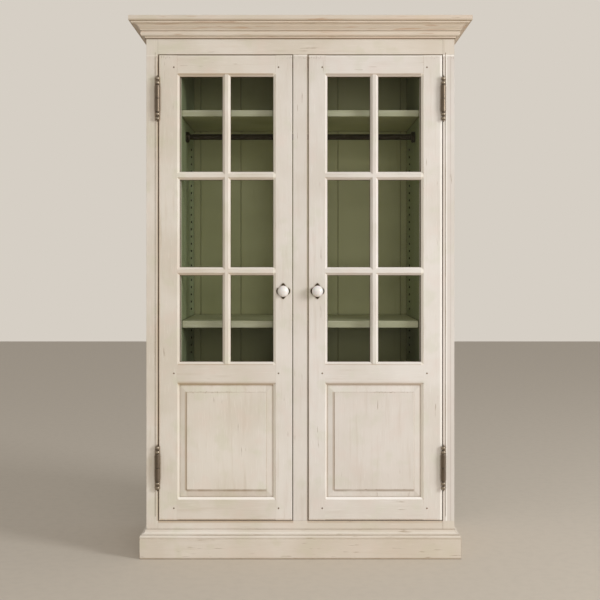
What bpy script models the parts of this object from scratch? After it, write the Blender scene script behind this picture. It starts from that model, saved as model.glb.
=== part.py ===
# A tall painted cupboard with two glazed doors, in metres, +Z up.
# It stands on z = 0 and faces -Y. The origin is on the floor, at the middle of its width and its full depth.
# Depths are measured back from the face of the front frame, and heights from the floor.

import math

import bmesh
import bpy
from mathutils import Matrix, Vector

# Whole cupboard
BODY_WIDTH = 1.245
BODY_DEPTH = 0.590
HEIGHT = 2.180
CLEARANCE = 0.0003
CUT_OVERRUN = 0.002
MERGE_DISTANCE = 0.00001

# Cornice: how far it stands out, how tall it is, and its outline from the bottom up
CORNICE_OUT = 0.064
CORNICE_HEIGHT = 0.085
CORNICE_OUTLINE_SHARES = (
    (0.055, 0.000), (0.055, 0.030), (0.090, 0.050), (0.155, 0.085), (0.155, 0.100), (0.270, 0.110),
    (0.345, 0.150), (0.375, 0.215), (0.360, 0.280), (0.330, 0.325), (0.345, 0.340), (0.370, 0.420),
    (0.430, 0.510), (0.530, 0.590), (0.660, 0.645), (0.700, 0.660), (0.760, 0.675), (0.780, 0.760),
    (0.860, 0.770), (0.965, 0.775), (1.000, 0.800), (1.000, 0.985), (0.985, 1.000),
)

# Plinth: thickness, height, and the outline of its moulded top
PLINTH_OUT = 0.024
PLINTH_BOARD_HEIGHT = 0.086
PLINTH_MOULDING_HEIGHT = 0.029
PLINTH_MOULDING_SHARES = (
    (1.000, 0.000), (0.980, 0.100), (0.930, 0.200), (0.840, 0.280), (0.840, 0.330), (0.660, 0.500),
    (0.460, 0.640), (0.300, 0.760), (0.210, 0.820), (0.150, 0.860), (0.130, 1.000),
)

# Front frame
FRAME_THICKNESS = 0.022
FRAME_STILE_WIDTH = 0.0465
MULLION_WIDTH = 0.058
SILL_HEIGHT = 0.149
SILL_RAIL_WIDTH = 0.085
HEAD_DROP = 0.146
LIP_THICKNESS = 0.018

# Carcass
SIDE_THICKNESS = 0.022
TOP_THICKNESS = 0.022
BOTTOM_THICKNESS = 0.022
BACK_THICKNESS = 0.018
LINER_THICKNESS = 0.018
LINER_INSET = 0.1155

# V grooves between the boards of the back
BACK_GROOVE_DEPTH = 0.003
BACK_GROOVE_SHARES = (-0.936, -0.559, -0.124, 0.353, 0.682, 0.940)

# Shelves
SHELF_SETBACK = 0.050
UPPER_SHELF_HEIGHT = 1.790
UPPER_SHELF_THICKNESS = 0.026
DADO_DEPTH = 0.006
LOWER_SHELF_THICKNESS = 0.028
LOWER_SHELF_HOLE = 4
LOWER_SHELF_PLAY = 0.002

# Shelf pins and their holes
HOLE_RADIUS = 0.0025
HOLE_DEPTH = 0.010
HOLE_PITCH = 0.032
HOLE_COUNT = 29
HOLE_SIDES = 6
FIRST_HOLE_HEIGHT = 0.796
FRONT_HOLES_DEPTH = 0.130
REAR_HOLES_DEPTH = 0.433
PIN_FIT = 0.0001
PIN_LENGTH_INSIDE = 0.010
PIN_COLLAR_RADIUS = 0.0045
PIN_COLLAR_THICKNESS = 0.0012
PIN_SIDES = 12

# Hanging rod and its wall flanges
ROD_RADIUS = 0.0125
ROD_DROP = 0.065
ROD_SETBACK = 0.223
ROD_SIDES = 24
FLANGE_RADIUS = 0.024
FLANGE_RIM = 0.004
FLANGE_HEIGHT = 0.016
FLANGE_FLOOR = 0.003
FLANGE_WALL = 0.003

# Doors
DOOR_THICKNESS = 0.022
DOOR_GAP = 0.003
HINGE_STILE_WIDTH = 0.0845
MEETING_STILE_WIDTH = 0.077
TOP_RAIL_WIDTH = 0.088
LOCK_RAIL_WIDTH = 0.094
BOTTOM_RAIL_WIDTH = 0.092
PANEL_OPENING_HEIGHT = 0.453
STICKING_WIDTH = 0.0095
STICKING_DEPTH = 0.008

# Glass and glazing bars
BAR_WIDTH = 0.032
BAR_SHOULDER = 0.002
BAR_DEPTH = 0.011
LOWER_LITE_HEIGHT = 0.3525
GLASS_THICKNESS = 0.004
GLASS_PLAY = 0.0006
REBATE_WIDTH = 0.0085

# Raised panel
GROOVE_SETBACK = 0.009
GROOVE_WIDTH = 0.006
GROOVE_DEPTH = 0.009
PANEL_PLAY = 0.0008
FIELD_MARGIN = 0.029
FIELD_SETBACK = 0.0015
FIELD_STEP = 0.002

# Knob and backplate
KNOB_RADIUS = 0.0225
KNOB_HEIGHT = 0.038
KNOB_INSET = 0.0373
KNOB_RISE = 0.9255
KNOB_SIDES = 24
KNOB_OUTLINE_SHARES = (
    (0.00, 1.000), (0.26, 0.985), (0.52, 0.935), (0.76, 0.840), (0.93, 0.710), (1.00, 0.570),
    (0.96, 0.440), (0.80, 0.335), (0.58, 0.270), (0.42, 0.230), (0.38, 0.130), (0.46, 0.070),
    (0.46, 0.000), (0.00, 0.000),
)
BACKPLATE_THICKNESS = 0.003
BACKPLATE_HALF_WIDTH = 0.027
BACKPLATE_HALF_HEIGHT = 0.0315
BACKPLATE_WAIST = 0.0195
BACKPLATE_POINTS = 40

# Lift-off hinges
KNUCKLE_RADIUS = 0.0085
KNUCKLE_LENGTH = 0.0575
FINIAL_HEIGHT = 0.0375
FINIAL_SHARES = (
    (0.00, 1.00), (0.50, 0.97), (0.84, 0.88), (0.84, 0.80), (0.50, 0.70), (0.82, 0.60),
    (0.82, 0.48), (0.55, 0.38), (0.88, 0.26), (0.88, 0.10), (0.78, 0.06), (1.00, 0.00),
)
HINGE_PIN_RADIUS = 0.0035
HINGE_PIN_LENGTH = 0.036
HINGE_PIN_FIT = 0.0001
HINGE_PIN_END_PLAY = 0.002
HINGE_AXIS_INSET = 0.001
HINGE_SIDES = 12
LEAF_DEPTH = 0.018
LEAF_END_MARGIN = 0.004
UPPER_HINGE_DROP = 0.176
LOWER_HINGE_RISE = 0.212

# Double catch behind the mullion
CATCH_WIDTH = 0.110
CATCH_HEIGHT = 0.024
CATCH_THICKNESS = 0.012
CATCH_DROP = 0.040
CATCH_EDGE = 0.003

# Colours as they look, 0 to 255, then roughness and metallic
FINISHES = {
    "cream_paint": ((216, 205, 187), 0.55, 0.0),
    "sage_paint": ((128, 138, 108), 0.60, 0.0),
    "porcelain": ((236, 231, 228), 0.15, 0.0),
    "dark_bronze": ((66, 54, 44), 0.45, 1.0),
    "aged_pewter": ((120, 104, 88), 0.38, 1.0),
    "black_iron": ((38, 34, 29), 0.50, 1.0),
    "clear_glass": ((235, 240, 236), 0.05, 0.0),
    "nickel": ((190, 184, 172), 0.30, 1.0),
}
GLASS_ALPHA = 0.25
FULL_COLOUR = 255.0

# Planes and edges that follow from the sizes above
BODY_HALF = BODY_WIDTH / 2
FACE_Y = CORNICE_OUT - (BODY_DEPTH + CORNICE_OUT) / 2
TOP_UNDERSIDE = HEIGHT - TOP_THICKNESS
BACK_FRONT = BODY_DEPTH - BACK_THICKNESS
LIP_BACK = FRAME_THICKNESS + CLEARANCE + LIP_THICKNESS
SIDE_INNER = BODY_HALF - SIDE_THICKNESS
FRAME_INNER = BODY_HALF - FRAME_STILE_WIDTH
INSIDE_HALF = SIDE_INNER - LINER_INSET
MULLION_HALF = MULLION_WIDTH / 2
HEAD_HEIGHT = HEIGHT - HEAD_DROP
DOOR_OUTER = FRAME_INNER - DOOR_GAP
DOOR_FREE = MULLION_HALF + DOOR_GAP
DOOR_BOTTOM = SILL_HEIGHT + DOOR_GAP
DOOR_TOP = HEAD_HEIGHT - DOOR_GAP
SIGHT_OUTER = DOOR_OUTER - HINGE_STILE_WIDTH
SIGHT_FREE = DOOR_FREE + MEETING_STILE_WIDTH
PANEL_LOW = DOOR_BOTTOM + BOTTOM_RAIL_WIDTH
PANEL_HIGH = PANEL_LOW + PANEL_OPENING_HEIGHT
LITES_LOW = PANEL_HIGH + LOCK_RAIL_WIDTH
LITES_HIGH = DOOR_TOP - TOP_RAIL_WIDTH
BAR_MIDDLE = (SIGHT_OUTER + SIGHT_FREE) / 2
LOWER_BAR_LOW = LITES_LOW + LOWER_LITE_HEIGHT
UPPER_BAR_LOW = LOWER_BAR_LOW + BAR_WIDTH + LOWER_LITE_HEIGHT
HINGE_X = FRAME_INNER + HINGE_AXIS_INSET
HINGE_FRONT = -(KNUCKLE_RADIUS + CLEARANCE)
SIDES = ((-1, "left"), (1, "right"))


def behind(depth):
    """The Y of a plane that lies this deep behind the face of the front frame."""
    return FACE_Y + depth


def to_linear(value):
    """A colour channel as it looks, 0 to 255, as the linear value that a shader takes."""
    share = value / FULL_COLOUR
    return share / 12.92 if share <= 0.04045 else ((share + 0.055) / 1.055) ** 2.4


def make_finish(name):
    """One painted, metal, ceramic or glass finish."""
    colour, roughness, metallic = FINISHES[name]
    finish = bpy.data.materials.new(name)
    finish.use_nodes = True
    shader = finish.node_tree.nodes["Principled BSDF"]
    shader.inputs["Base Color"].default_value = [to_linear(channel) for channel in colour] + [1.0]
    shader.inputs["Roughness"].default_value = roughness
    shader.inputs["Metallic"].default_value = metallic
    if name == "clear_glass":
        shader.inputs["Alpha"].default_value = GLASS_ALPHA
    return finish


def clear_scene():
    """Removes every object, so that the script can be run again."""
    for old in list(bpy.data.objects):
        bpy.data.objects.remove(old, do_unlink=True)


clear_scene()
ARMOIRE = bpy.data.collections.new("glazed_armoire")
CUTTERS = bpy.data.collections.new("cutters")
for collection in (ARMOIRE, CUTTERS):
    bpy.context.scene.collection.children.link(collection)
FINISH = {name: make_finish(name) for name in FINISHES}


def add_block(bm, low, high):
    """Adds a box between two corners to a mesh in the making, and returns its corners."""
    low, high = Vector(low), Vector(high)
    place = Matrix.Translation((low + high) / 2) @ Matrix.Diagonal(high - low).to_4x4()
    return bmesh.ops.create_cube(bm, size=1.0, matrix=place)["verts"]


def mesh_object(name, bm, location=(0, 0, 0)):
    """Turns a mesh in the making into an object at a place, with its points as they were."""
    bmesh.ops.translate(bm, verts=bm.verts, vec=-Vector(location))
    bmesh.ops.recalc_face_normals(bm, faces=bm.faces)
    mesh = bpy.data.meshes.new(name)
    bm.to_mesh(mesh)
    bm.free()
    thing = bpy.data.objects.new(name, mesh)
    thing.location = location
    return thing


def as_piece(thing, finish, carrier=None):
    """Puts an object among the parts, gives it its finish and hangs it on its door."""
    ARMOIRE.objects.link(thing)
    thing.data.materials.clear()
    thing.data.materials.append(FINISH[finish])
    if carrier is not None:
        thing.parent = carrier
        thing.matrix_parent_inverse = Matrix.Translation(carrier.location).inverted()
    return thing


def as_cutter(thing):
    """Puts an object among the cutters."""
    CUTTERS.objects.link(thing)
    thing.hide_render = True
    thing.display_type = "WIRE"
    return thing


def box_piece(name, low, high, finish, carrier=None):
    """A plain board between two corners, with its origin at its middle."""
    bm = bmesh.new()
    add_block(bm, low, high)
    middle = (Vector(low) + Vector(high)) / 2
    return as_piece(mesh_object(name, bm, middle), finish, carrier)


def box_cutter(name, boxes):
    """One cutter made of boxes that lie apart."""
    bm = bmesh.new()
    for low, high in boxes:
        add_block(bm, low, high)
    return as_cutter(mesh_object(name, bm))


def shape_with(piece, tool, operation="DIFFERENCE"):
    """Cuts a piece with a tool, or joins the tool to it."""
    change = piece.modifiers.new(tool.name, "BOOLEAN")
    change.operation = operation
    change.solver = "EXACT"
    change.object = tool


def outline_mesh(name, outline, thickness):
    """A flat outline as a solid plate in the making, in the XY plane with its middle at z = 0."""
    curve = bpy.data.curves.new(name, "CURVE")
    curve.dimensions = "2D"
    curve.fill_mode = "BOTH"
    curve.extrude = thickness / 2
    line = curve.splines.new("POLY")
    line.points.add(len(outline) - 1)
    for point, (across, along) in zip(line.points, outline):
        point.co = (across, along, 0, 1)
    line.use_cyclic_u = True
    guide = bpy.data.objects.new(name, curve)
    bpy.context.scene.collection.objects.link(guide)
    bpy.context.view_layer.update()
    filled = guide.evaluated_get(bpy.context.evaluated_depsgraph_get())
    mesh = bpy.data.meshes.new_from_object(filled)
    bpy.data.objects.remove(guide, do_unlink=True)
    bpy.data.curves.remove(curve)
    bm = bmesh.new()
    bm.from_mesh(mesh)
    bpy.data.meshes.remove(mesh)
    bmesh.ops.remove_doubles(bm, verts=bm.verts, dist=MERGE_DISTANCE)
    return bm


def upright_plate(name, outline, front, thickness, finish, carrier=None):
    """A plate whose outline is in X and Z, with its face this deep behind the frame's face."""
    bm = outline_mesh(name, outline, thickness)
    bmesh.ops.rotate(bm, verts=bm.verts, matrix=Matrix.Rotation(math.radians(90), 3, "X"))
    bmesh.ops.translate(bm, verts=bm.verts, vec=(0, behind(front + thickness / 2), 0))
    centre_x = sum(x for x, z in outline) / len(outline)
    centre_z = sum(z for x, z in outline) / len(outline)
    middle = (centre_x, behind(front + thickness / 2), centre_z)
    return as_piece(mesh_object(name, bm, middle), finish, carrier)


def turned_piece(name, outline, sides, place, finish, carrier=None, turn=(0, 0, 0)):
    """A turned shape. Its outline runs from the axis at the top, down its outer side, back to the axis."""
    mesh = bpy.data.meshes.new(name)
    mesh.from_pydata([(radius, 0, height) for radius, height in outline],
                     [(index, index + 1) for index in range(len(outline) - 1)], [])
    piece = bpy.data.objects.new(name, mesh)
    piece.location = place
    piece.rotation_euler = turn
    screw = piece.modifiers.new("turning", "SCREW")
    screw.axis = "Z"
    screw.steps = sides
    screw.render_steps = sides
    screw.use_merge_vertices = True
    screw.merge_threshold = MERGE_DISTANCE
    screw.use_smooth_shade = True
    return as_piece(piece, finish, carrier)


def span(side, inner, outer):
    """The low and high X of a stretch from the middle of the cupboard outwards, on one side."""
    return min(side * inner, side * outer), max(side * inner, side * outer)


def side_box(name, side, across, depths, heights, finish, carrier=None):
    """A board given by its stretch across one side, its depths behind the face and its heights."""
    low_x, high_x = span(side, *across)
    low = (low_x, behind(depths[0]), heights[0])
    high = (high_x, behind(depths[1]), heights[1])
    return box_piece(name, low, high, finish, carrier)


def full_box(name, half_width, depths, heights, finish):
    """A board across both sides of the cupboard."""
    low = (-half_width, behind(depths[0]), heights[0])
    high = (half_width, behind(depths[1]), heights[1])
    return box_piece(name, low, high, finish)


def run_moulding(name, outline, side):
    """A mitred length of moulding: side 0 is the front, -1 and 1 the returns to the back."""
    bm = outline_mesh(name, outline, BODY_WIDTH)
    for vertex in bm.verts:
        out, height, end = vertex.co
        if side == 0:
            across = math.copysign(BODY_HALF + out - CLEARANCE, end)
            vertex.co = (across, behind(-out), height)
        else:
            depth = CLEARANCE - out if end < 0 else BODY_DEPTH
            vertex.co = (side * (BODY_HALF + out), behind(depth), height)
    return as_piece(mesh_object(name, bm), "cream_paint")


def build_cornice():
    """The crown round the front and both sides."""
    foot = HEIGHT - CORNICE_HEIGHT
    outline = [(CLEARANCE, foot)]
    outline += [(CORNICE_OUT * out, foot + CORNICE_HEIGHT * up) for out, up in CORNICE_OUTLINE_SHARES]
    outline += [(CLEARANCE, HEIGHT)]
    run_moulding("cornice_front", outline, 0)
    for side, label in SIDES:
        run_moulding(f"cornice_{label}", outline, side)


def build_plinth():
    """The base round the front and both sides, plain below and moulded on top."""
    outline = [(CLEARANCE, 0), (PLINTH_OUT, 0)]
    outline += [(PLINTH_OUT * out, PLINTH_BOARD_HEIGHT + PLINTH_MOULDING_HEIGHT * up)
                for out, up in PLINTH_MOULDING_SHARES]
    outline += [(CLEARANCE, PLINTH_BOARD_HEIGHT + PLINTH_MOULDING_HEIGHT)]
    run_moulding("plinth_front", outline, 0)
    for side, label in SIDES:
        run_moulding(f"plinth_{label}", outline, side)


def build_front_frame():
    """The frame that the doors close into. Its stiles have a lip behind the doors."""
    head_top = TOP_UNDERSIDE - CLEARANCE
    lip_front = FRAME_THICKNESS + CLEARANCE
    for side, label in SIDES:
        name = f"frame_stile_{label}"
        outline = [(BODY_HALF, 0), (FRAME_INNER, 0), (FRAME_INNER, lip_front), (INSIDE_HALF, lip_front),
                   (INSIDE_HALF, LIP_BACK), (SIDE_INNER - CLEARANCE, LIP_BACK),
                   (SIDE_INNER - CLEARANCE, FRAME_THICKNESS), (BODY_HALF, FRAME_THICKNESS)]
        bm = outline_mesh(name, [(side * across, behind(depth)) for across, depth in outline], head_top)
        bmesh.ops.translate(bm, verts=bm.verts, vec=(0, 0, head_top / 2))
        place = (side * (BODY_HALF + FRAME_INNER) / 2, behind(FRAME_THICKNESS / 2), head_top / 2)
        stile = as_piece(mesh_object(name, bm, place), "cream_paint")
        low_x, high_x = span(side, INSIDE_HALF - CUT_OVERRUN, SIDE_INNER + CLEARANCE)
        notch = box_cutter(f"lip_notch_{label}",
                           [((low_x, behind(FRAME_THICKNESS), -CUT_OVERRUN),
                             (high_x, behind(LIP_BACK + CUT_OVERRUN), SILL_HEIGHT + CLEARANCE))])
        shape_with(stile, notch)
    rail_half = FRAME_INNER - CLEARANCE
    depths = (0, FRAME_THICKNESS)
    full_box("frame_top_rail", rail_half, depths, (HEAD_HEIGHT, head_top), "cream_paint")
    full_box("frame_bottom_rail", rail_half, depths, (SILL_HEIGHT - SILL_RAIL_WIDTH, SILL_HEIGHT), "cream_paint")
    full_box("frame_mullion", MULLION_HALF, depths, (SILL_HEIGHT + CLEARANCE, HEAD_HEIGHT - CLEARANCE),
             "cream_paint")


def build_carcass():
    """Outer sides, top, bottom and the boarded back."""
    for side, label in SIDES:
        side_box(f"outer_side_{label}", side, (SIDE_INNER, BODY_HALF),
                 (FRAME_THICKNESS + CLEARANCE, BODY_DEPTH), (0, TOP_UNDERSIDE - CLEARANCE), "cream_paint")
    full_box("top_board", BODY_HALF, (0, BODY_DEPTH), (TOP_UNDERSIDE, HEIGHT), "cream_paint")
    inner = SIDE_INNER - CLEARANCE
    full_box("bottom_board", inner, (FRAME_THICKNESS + CLEARANCE, BACK_FRONT - CLEARANCE),
             (SILL_HEIGHT - BOTTOM_THICKNESS, SILL_HEIGHT), "sage_paint")
    back = full_box("back_panel", inner, (BACK_FRONT, BODY_DEPTH),
                    (SILL_HEIGHT - BOTTOM_THICKNESS, TOP_UNDERSIDE - CLEARANCE), "sage_paint")
    bm = bmesh.new()
    groove_side = BACK_GROOVE_DEPTH * math.sqrt(2)
    for share in BACK_GROOVE_SHARES:
        place = Matrix.Translation((INSIDE_HALF * share, behind(BACK_FRONT), HEIGHT / 2))
        turn = Matrix.Rotation(math.radians(45), 4, "Z")
        size = Matrix.Diagonal((groove_side, groove_side, HEIGHT)).to_4x4()
        bmesh.ops.create_cube(bm, size=1.0, matrix=place @ turn @ size)
    shape_with(back, as_cutter(mesh_object("back_grooves", bm)))


def hole_heights():
    """The heights of the rows of shelf-pin holes."""
    return [FIRST_HOLE_HEIGHT + HOLE_PITCH * row for row in range(HOLE_COUNT)]


def build_liners():
    """The inner sides, with dadoes for the fixed shelf and rows of holes for shelf pins."""
    shelf_top = UPPER_SHELF_HEIGHT + UPPER_SHELF_THICKNESS
    for side, label in SIDES:
        liner = side_box(f"liner_{label}", side, (INSIDE_HALF, INSIDE_HALF + LINER_THICKNESS),
                         (LIP_BACK + CLEARANCE, BACK_FRONT - CLEARANCE),
                         (SILL_HEIGHT + CLEARANCE, TOP_UNDERSIDE - CLEARANCE), "sage_paint")
        low_x, high_x = span(side, INSIDE_HALF - CUT_OVERRUN, INSIDE_HALF + DADO_DEPTH)
        dado = box_cutter(f"dado_{label}",
                          [((low_x, behind(SHELF_SETBACK - CLEARANCE), UPPER_SHELF_HEIGHT - CLEARANCE),
                            (high_x, behind(BODY_DEPTH), shelf_top + CLEARANCE))])
        shape_with(liner, dado)
        bm = bmesh.new()
        for depth in (FRONT_HOLES_DEPTH, REAR_HOLES_DEPTH):
            for height in hole_heights():
                place = Matrix.Translation((side * INSIDE_HALF, behind(depth), height))
                turn = Matrix.Rotation(math.radians(90), 4, "Y")
                bmesh.ops.create_cone(bm, cap_ends=True, segments=HOLE_SIDES, radius1=HOLE_RADIUS,
                                      radius2=HOLE_RADIUS, depth=2 * HOLE_DEPTH, matrix=place @ turn)
        shape_with(liner, as_cutter(mesh_object(f"pin_holes_{label}", bm)))


def build_shelves():
    """The fixed upper shelf in its dadoes, and the loose lower shelf on its four pins."""
    depths = (SHELF_SETBACK, BACK_FRONT - CLEARANCE)
    full_box("upper_shelf", INSIDE_HALF + DADO_DEPTH - CLEARANCE, depths,
             (UPPER_SHELF_HEIGHT, UPPER_SHELF_HEIGHT + UPPER_SHELF_THICKNESS), "sage_paint")
    pin_height = hole_heights()[LOWER_SHELF_HOLE]
    pin_radius = HOLE_RADIUS - PIN_FIT
    shelf_low = pin_height + pin_radius + CLEARANCE
    full_box("lower_shelf", INSIDE_HALF - LOWER_SHELF_PLAY, depths,
             (shelf_low, shelf_low + LOWER_SHELF_THICKNESS), "sage_paint")
    buried = HOLE_DEPTH - CLEARANCE
    outline = [(0, PIN_LENGTH_INSIDE), (pin_radius, PIN_LENGTH_INSIDE),
               (pin_radius, PIN_COLLAR_THICKNESS + CLEARANCE),
               (PIN_COLLAR_RADIUS, PIN_COLLAR_THICKNESS + CLEARANCE), (PIN_COLLAR_RADIUS, CLEARANCE),
               (pin_radius * math.cos(math.pi / HOLE_SIDES), CLEARANCE),
               (pin_radius * math.cos(math.pi / HOLE_SIDES), -buried), (0, -buried)]
    for side, label in SIDES:
        for depth, end in ((FRONT_HOLES_DEPTH, "front"), (REAR_HOLES_DEPTH, "rear")):
            turned_piece(f"shelf_pin_{label}_{end}", outline, PIN_SIDES,
                         (side * INSIDE_HALF, behind(depth), pin_height), "nickel",
                         turn=(0, math.radians(-90) * side, 0))


def build_hanging_rod():
    """The rod under the upper shelf and the round flange that holds each end."""
    height = UPPER_SHELF_HEIGHT - ROD_DROP
    socket = (ROD_RADIUS + CLEARANCE) / math.cos(math.pi / ROD_SIDES)
    neck = socket + FLANGE_WALL
    outline = [(0, FLANGE_FLOOR), (socket, FLANGE_FLOOR), (socket, FLANGE_HEIGHT), (neck, FLANGE_HEIGHT),
               (neck, FLANGE_RIM + FLANGE_FLOOR), (FLANGE_RADIUS, FLANGE_RIM), (FLANGE_RADIUS, 0), (0, 0)]
    for side, label in SIDES:
        turned_piece(f"rod_flange_{label}", outline, ROD_SIDES,
                     (side * (INSIDE_HALF - CLEARANCE), behind(ROD_SETBACK), height), "black_iron",
                     turn=(0, math.radians(-90) * side, 0))
    reach = INSIDE_HALF - CLEARANCE - FLANGE_FLOOR - CLEARANCE
    turned_piece("hanging_rod", [(0, reach), (ROD_RADIUS, reach), (ROD_RADIUS, -reach), (0, -reach)], ROD_SIDES,
                 (0, behind(ROD_SETBACK), height), "black_iron", turn=(0, math.radians(90), 0))


def build_catch():
    """The double catch on the back of the mullion, which both doors close against."""
    middle = HEAD_HEIGHT - CATCH_DROP
    front = FRAME_THICKNESS + CLEARANCE
    catch = full_box("door_catch", CATCH_WIDTH / 2, (front, front + CATCH_THICKNESS),
                     (middle - CATCH_HEIGHT / 2, middle + CATCH_HEIGHT / 2), "dark_bronze")
    edge = catch.modifiers.new("eased_edges", "BEVEL")
    edge.width = CATCH_EDGE
    edge.segments = 1


def opening_cutter(name, openings, depth):
    """A cutter for openings with a sloped edge at the face, one tapered block for each opening."""
    bm = bmesh.new()
    slope_depth = STICKING_DEPTH + CUT_OVERRUN
    flare = STICKING_WIDTH * slope_depth / STICKING_DEPTH
    for low_x, high_x, low_z, high_z in openings:
        add_block(bm, (low_x, behind(STICKING_DEPTH), low_z), (high_x, behind(depth), high_z))
        middle = Vector(((low_x + high_x) / 2, behind(STICKING_DEPTH), (low_z + high_z) / 2))
        front = [face for face in bm.faces if (face.calc_center_median() - middle).length < MERGE_DISTANCE]
        slope = bmesh.ops.extrude_discrete_faces(bm, faces=front)["faces"][0]
        for vertex in slope.verts:
            vertex.co.x += math.copysign(flare, vertex.co.x - middle.x)
            vertex.co.y = behind(-CUT_OVERRUN)
            vertex.co.z += math.copysign(flare, vertex.co.z - middle.z)
    bmesh.ops.remove_doubles(bm, verts=bm.verts, dist=MERGE_DISTANCE)
    return as_cutter(mesh_object(name, bm))


def door_openings(side):
    """The sight edges of the six lites and of the panel, for one door."""
    lites = []
    for across in ((SIGHT_FREE, BAR_MIDDLE - BAR_WIDTH / 2), (BAR_MIDDLE + BAR_WIDTH / 2, SIGHT_OUTER)):
        for heights in ((LITES_LOW, LOWER_BAR_LOW), (LOWER_BAR_LOW + BAR_WIDTH, UPPER_BAR_LOW),
                        (UPPER_BAR_LOW + BAR_WIDTH, LITES_HIGH)):
            lites.append(span(side, *across) + heights)
    panel = [span(side, SIGHT_FREE, SIGHT_OUTER) + (PANEL_LOW, PANEL_HIGH)]
    return lites, panel


def door_cutters(side, label):
    """The four cutters that shape every stile, rail and bar of a door."""
    lites, panel = door_openings(side)
    through = DOOR_THICKNESS + CUT_OVERRUN
    rebate_x = span(side, SIGHT_FREE - REBATE_WIDTH, SIGHT_OUTER + REBATE_WIDTH)
    rebate = [((rebate_x[0], behind(BAR_DEPTH), LITES_LOW - REBATE_WIDTH),
               (rebate_x[1], behind(through), LITES_HIGH + REBATE_WIDTH))]
    groove_x = span(side, SIGHT_FREE - GROOVE_DEPTH, SIGHT_OUTER + GROOVE_DEPTH)
    groove = [((groove_x[0], behind(GROOVE_SETBACK), PANEL_LOW - GROOVE_DEPTH),
               (groove_x[1], behind(GROOVE_SETBACK + GROOVE_WIDTH), PANEL_HIGH + GROOVE_DEPTH))]
    return {
        "lites": opening_cutter(f"{label}_lites", lites, through),
        "panel": opening_cutter(f"{label}_panel_opening", panel, through),
        "rebate": box_cutter(f"{label}_glass_rebate", rebate),
        "groove": box_cutter(f"{label}_panel_groove", groove),
    }


def build_stiles(side, label, axis, cutters):
    """The two uprights of a door. Their moulded edges are mitred to the rails."""
    mould, shoulder = STICKING_WIDTH, BAR_SHOULDER
    low, high = CLEARANCE, -CLEARANCE
    for name, edge, sight, away in (("hinge_stile", DOOR_OUTER, SIGHT_OUTER, 1),
                                    ("meeting_stile", DOOR_FREE, SIGHT_FREE, -1)):
        flat = sight + away * mould
        blank = sight - away * shoulder
        outline = [(edge, DOOR_BOTTOM), (flat, DOOR_BOTTOM), (flat, PANEL_LOW - mould + low),
                   (blank, PANEL_LOW + shoulder + low), (blank, PANEL_HIGH - shoulder + high),
                   (flat, PANEL_HIGH + mould + high), (flat, LITES_LOW - mould + low),
                   (blank, LITES_LOW + shoulder + low), (blank, LITES_HIGH - shoulder + high),
                   (flat, LITES_HIGH + mould + high), (flat, DOOR_TOP), (edge, DOOR_TOP)]
        stile = upright_plate(f"{label}_door_{name}", [(side * x, z) for x, z in outline], 0,
                              DOOR_THICKNESS, "cream_paint", axis)
        for tool in ("lites", "panel", "rebate", "groove"):
            shape_with(stile, cutters[tool])


def build_rails(side, label, axis, cutters):
    """The three rails of a door, between the flats of its stiles."""
    mould, shoulder = STICKING_WIDTH, BAR_SHOULDER
    flat = (SIGHT_FREE - mould + CLEARANCE, SIGHT_OUTER + mould - CLEARANCE)
    blank = (SIGHT_FREE + shoulder + CLEARANCE, SIGHT_OUTER - shoulder - CLEARANCE)
    rails = {
        "top_rail": ([(flat[0], DOOR_TOP), (flat[0], LITES_HIGH + mould), (blank[0], LITES_HIGH - shoulder),
                      (blank[1], LITES_HIGH - shoulder), (flat[1], LITES_HIGH + mould), (flat[1], DOOR_TOP)],
                     ("lites", "rebate")),
        "lock_rail": ([(flat[0], LITES_LOW - mould), (flat[0], PANEL_HIGH + mould),
                       (blank[0], PANEL_HIGH - shoulder), (blank[1], PANEL_HIGH - shoulder),
                       (flat[1], PANEL_HIGH + mould), (flat[1], LITES_LOW - mould),
                       (blank[1], LITES_LOW + shoulder), (blank[0], LITES_LOW + shoulder)],
                      ("lites", "panel", "rebate", "groove")),
        "bottom_rail": ([(flat[0], DOOR_BOTTOM), (flat[1], DOOR_BOTTOM), (flat[1], PANEL_LOW - mould),
                         (blank[1], PANEL_LOW + shoulder), (blank[0], PANEL_LOW + shoulder),
                         (flat[0], PANEL_LOW - mould)],
                        ("panel", "groove")),
    }
    for name, (outline, tools) in rails.items():
        rail = upright_plate(f"{label}_door_{name}", [(side * x, z) for x, z in outline], 0,
                             DOOR_THICKNESS, "cream_paint", axis)
        for tool in tools:
            shape_with(rail, cutters[tool])


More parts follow.
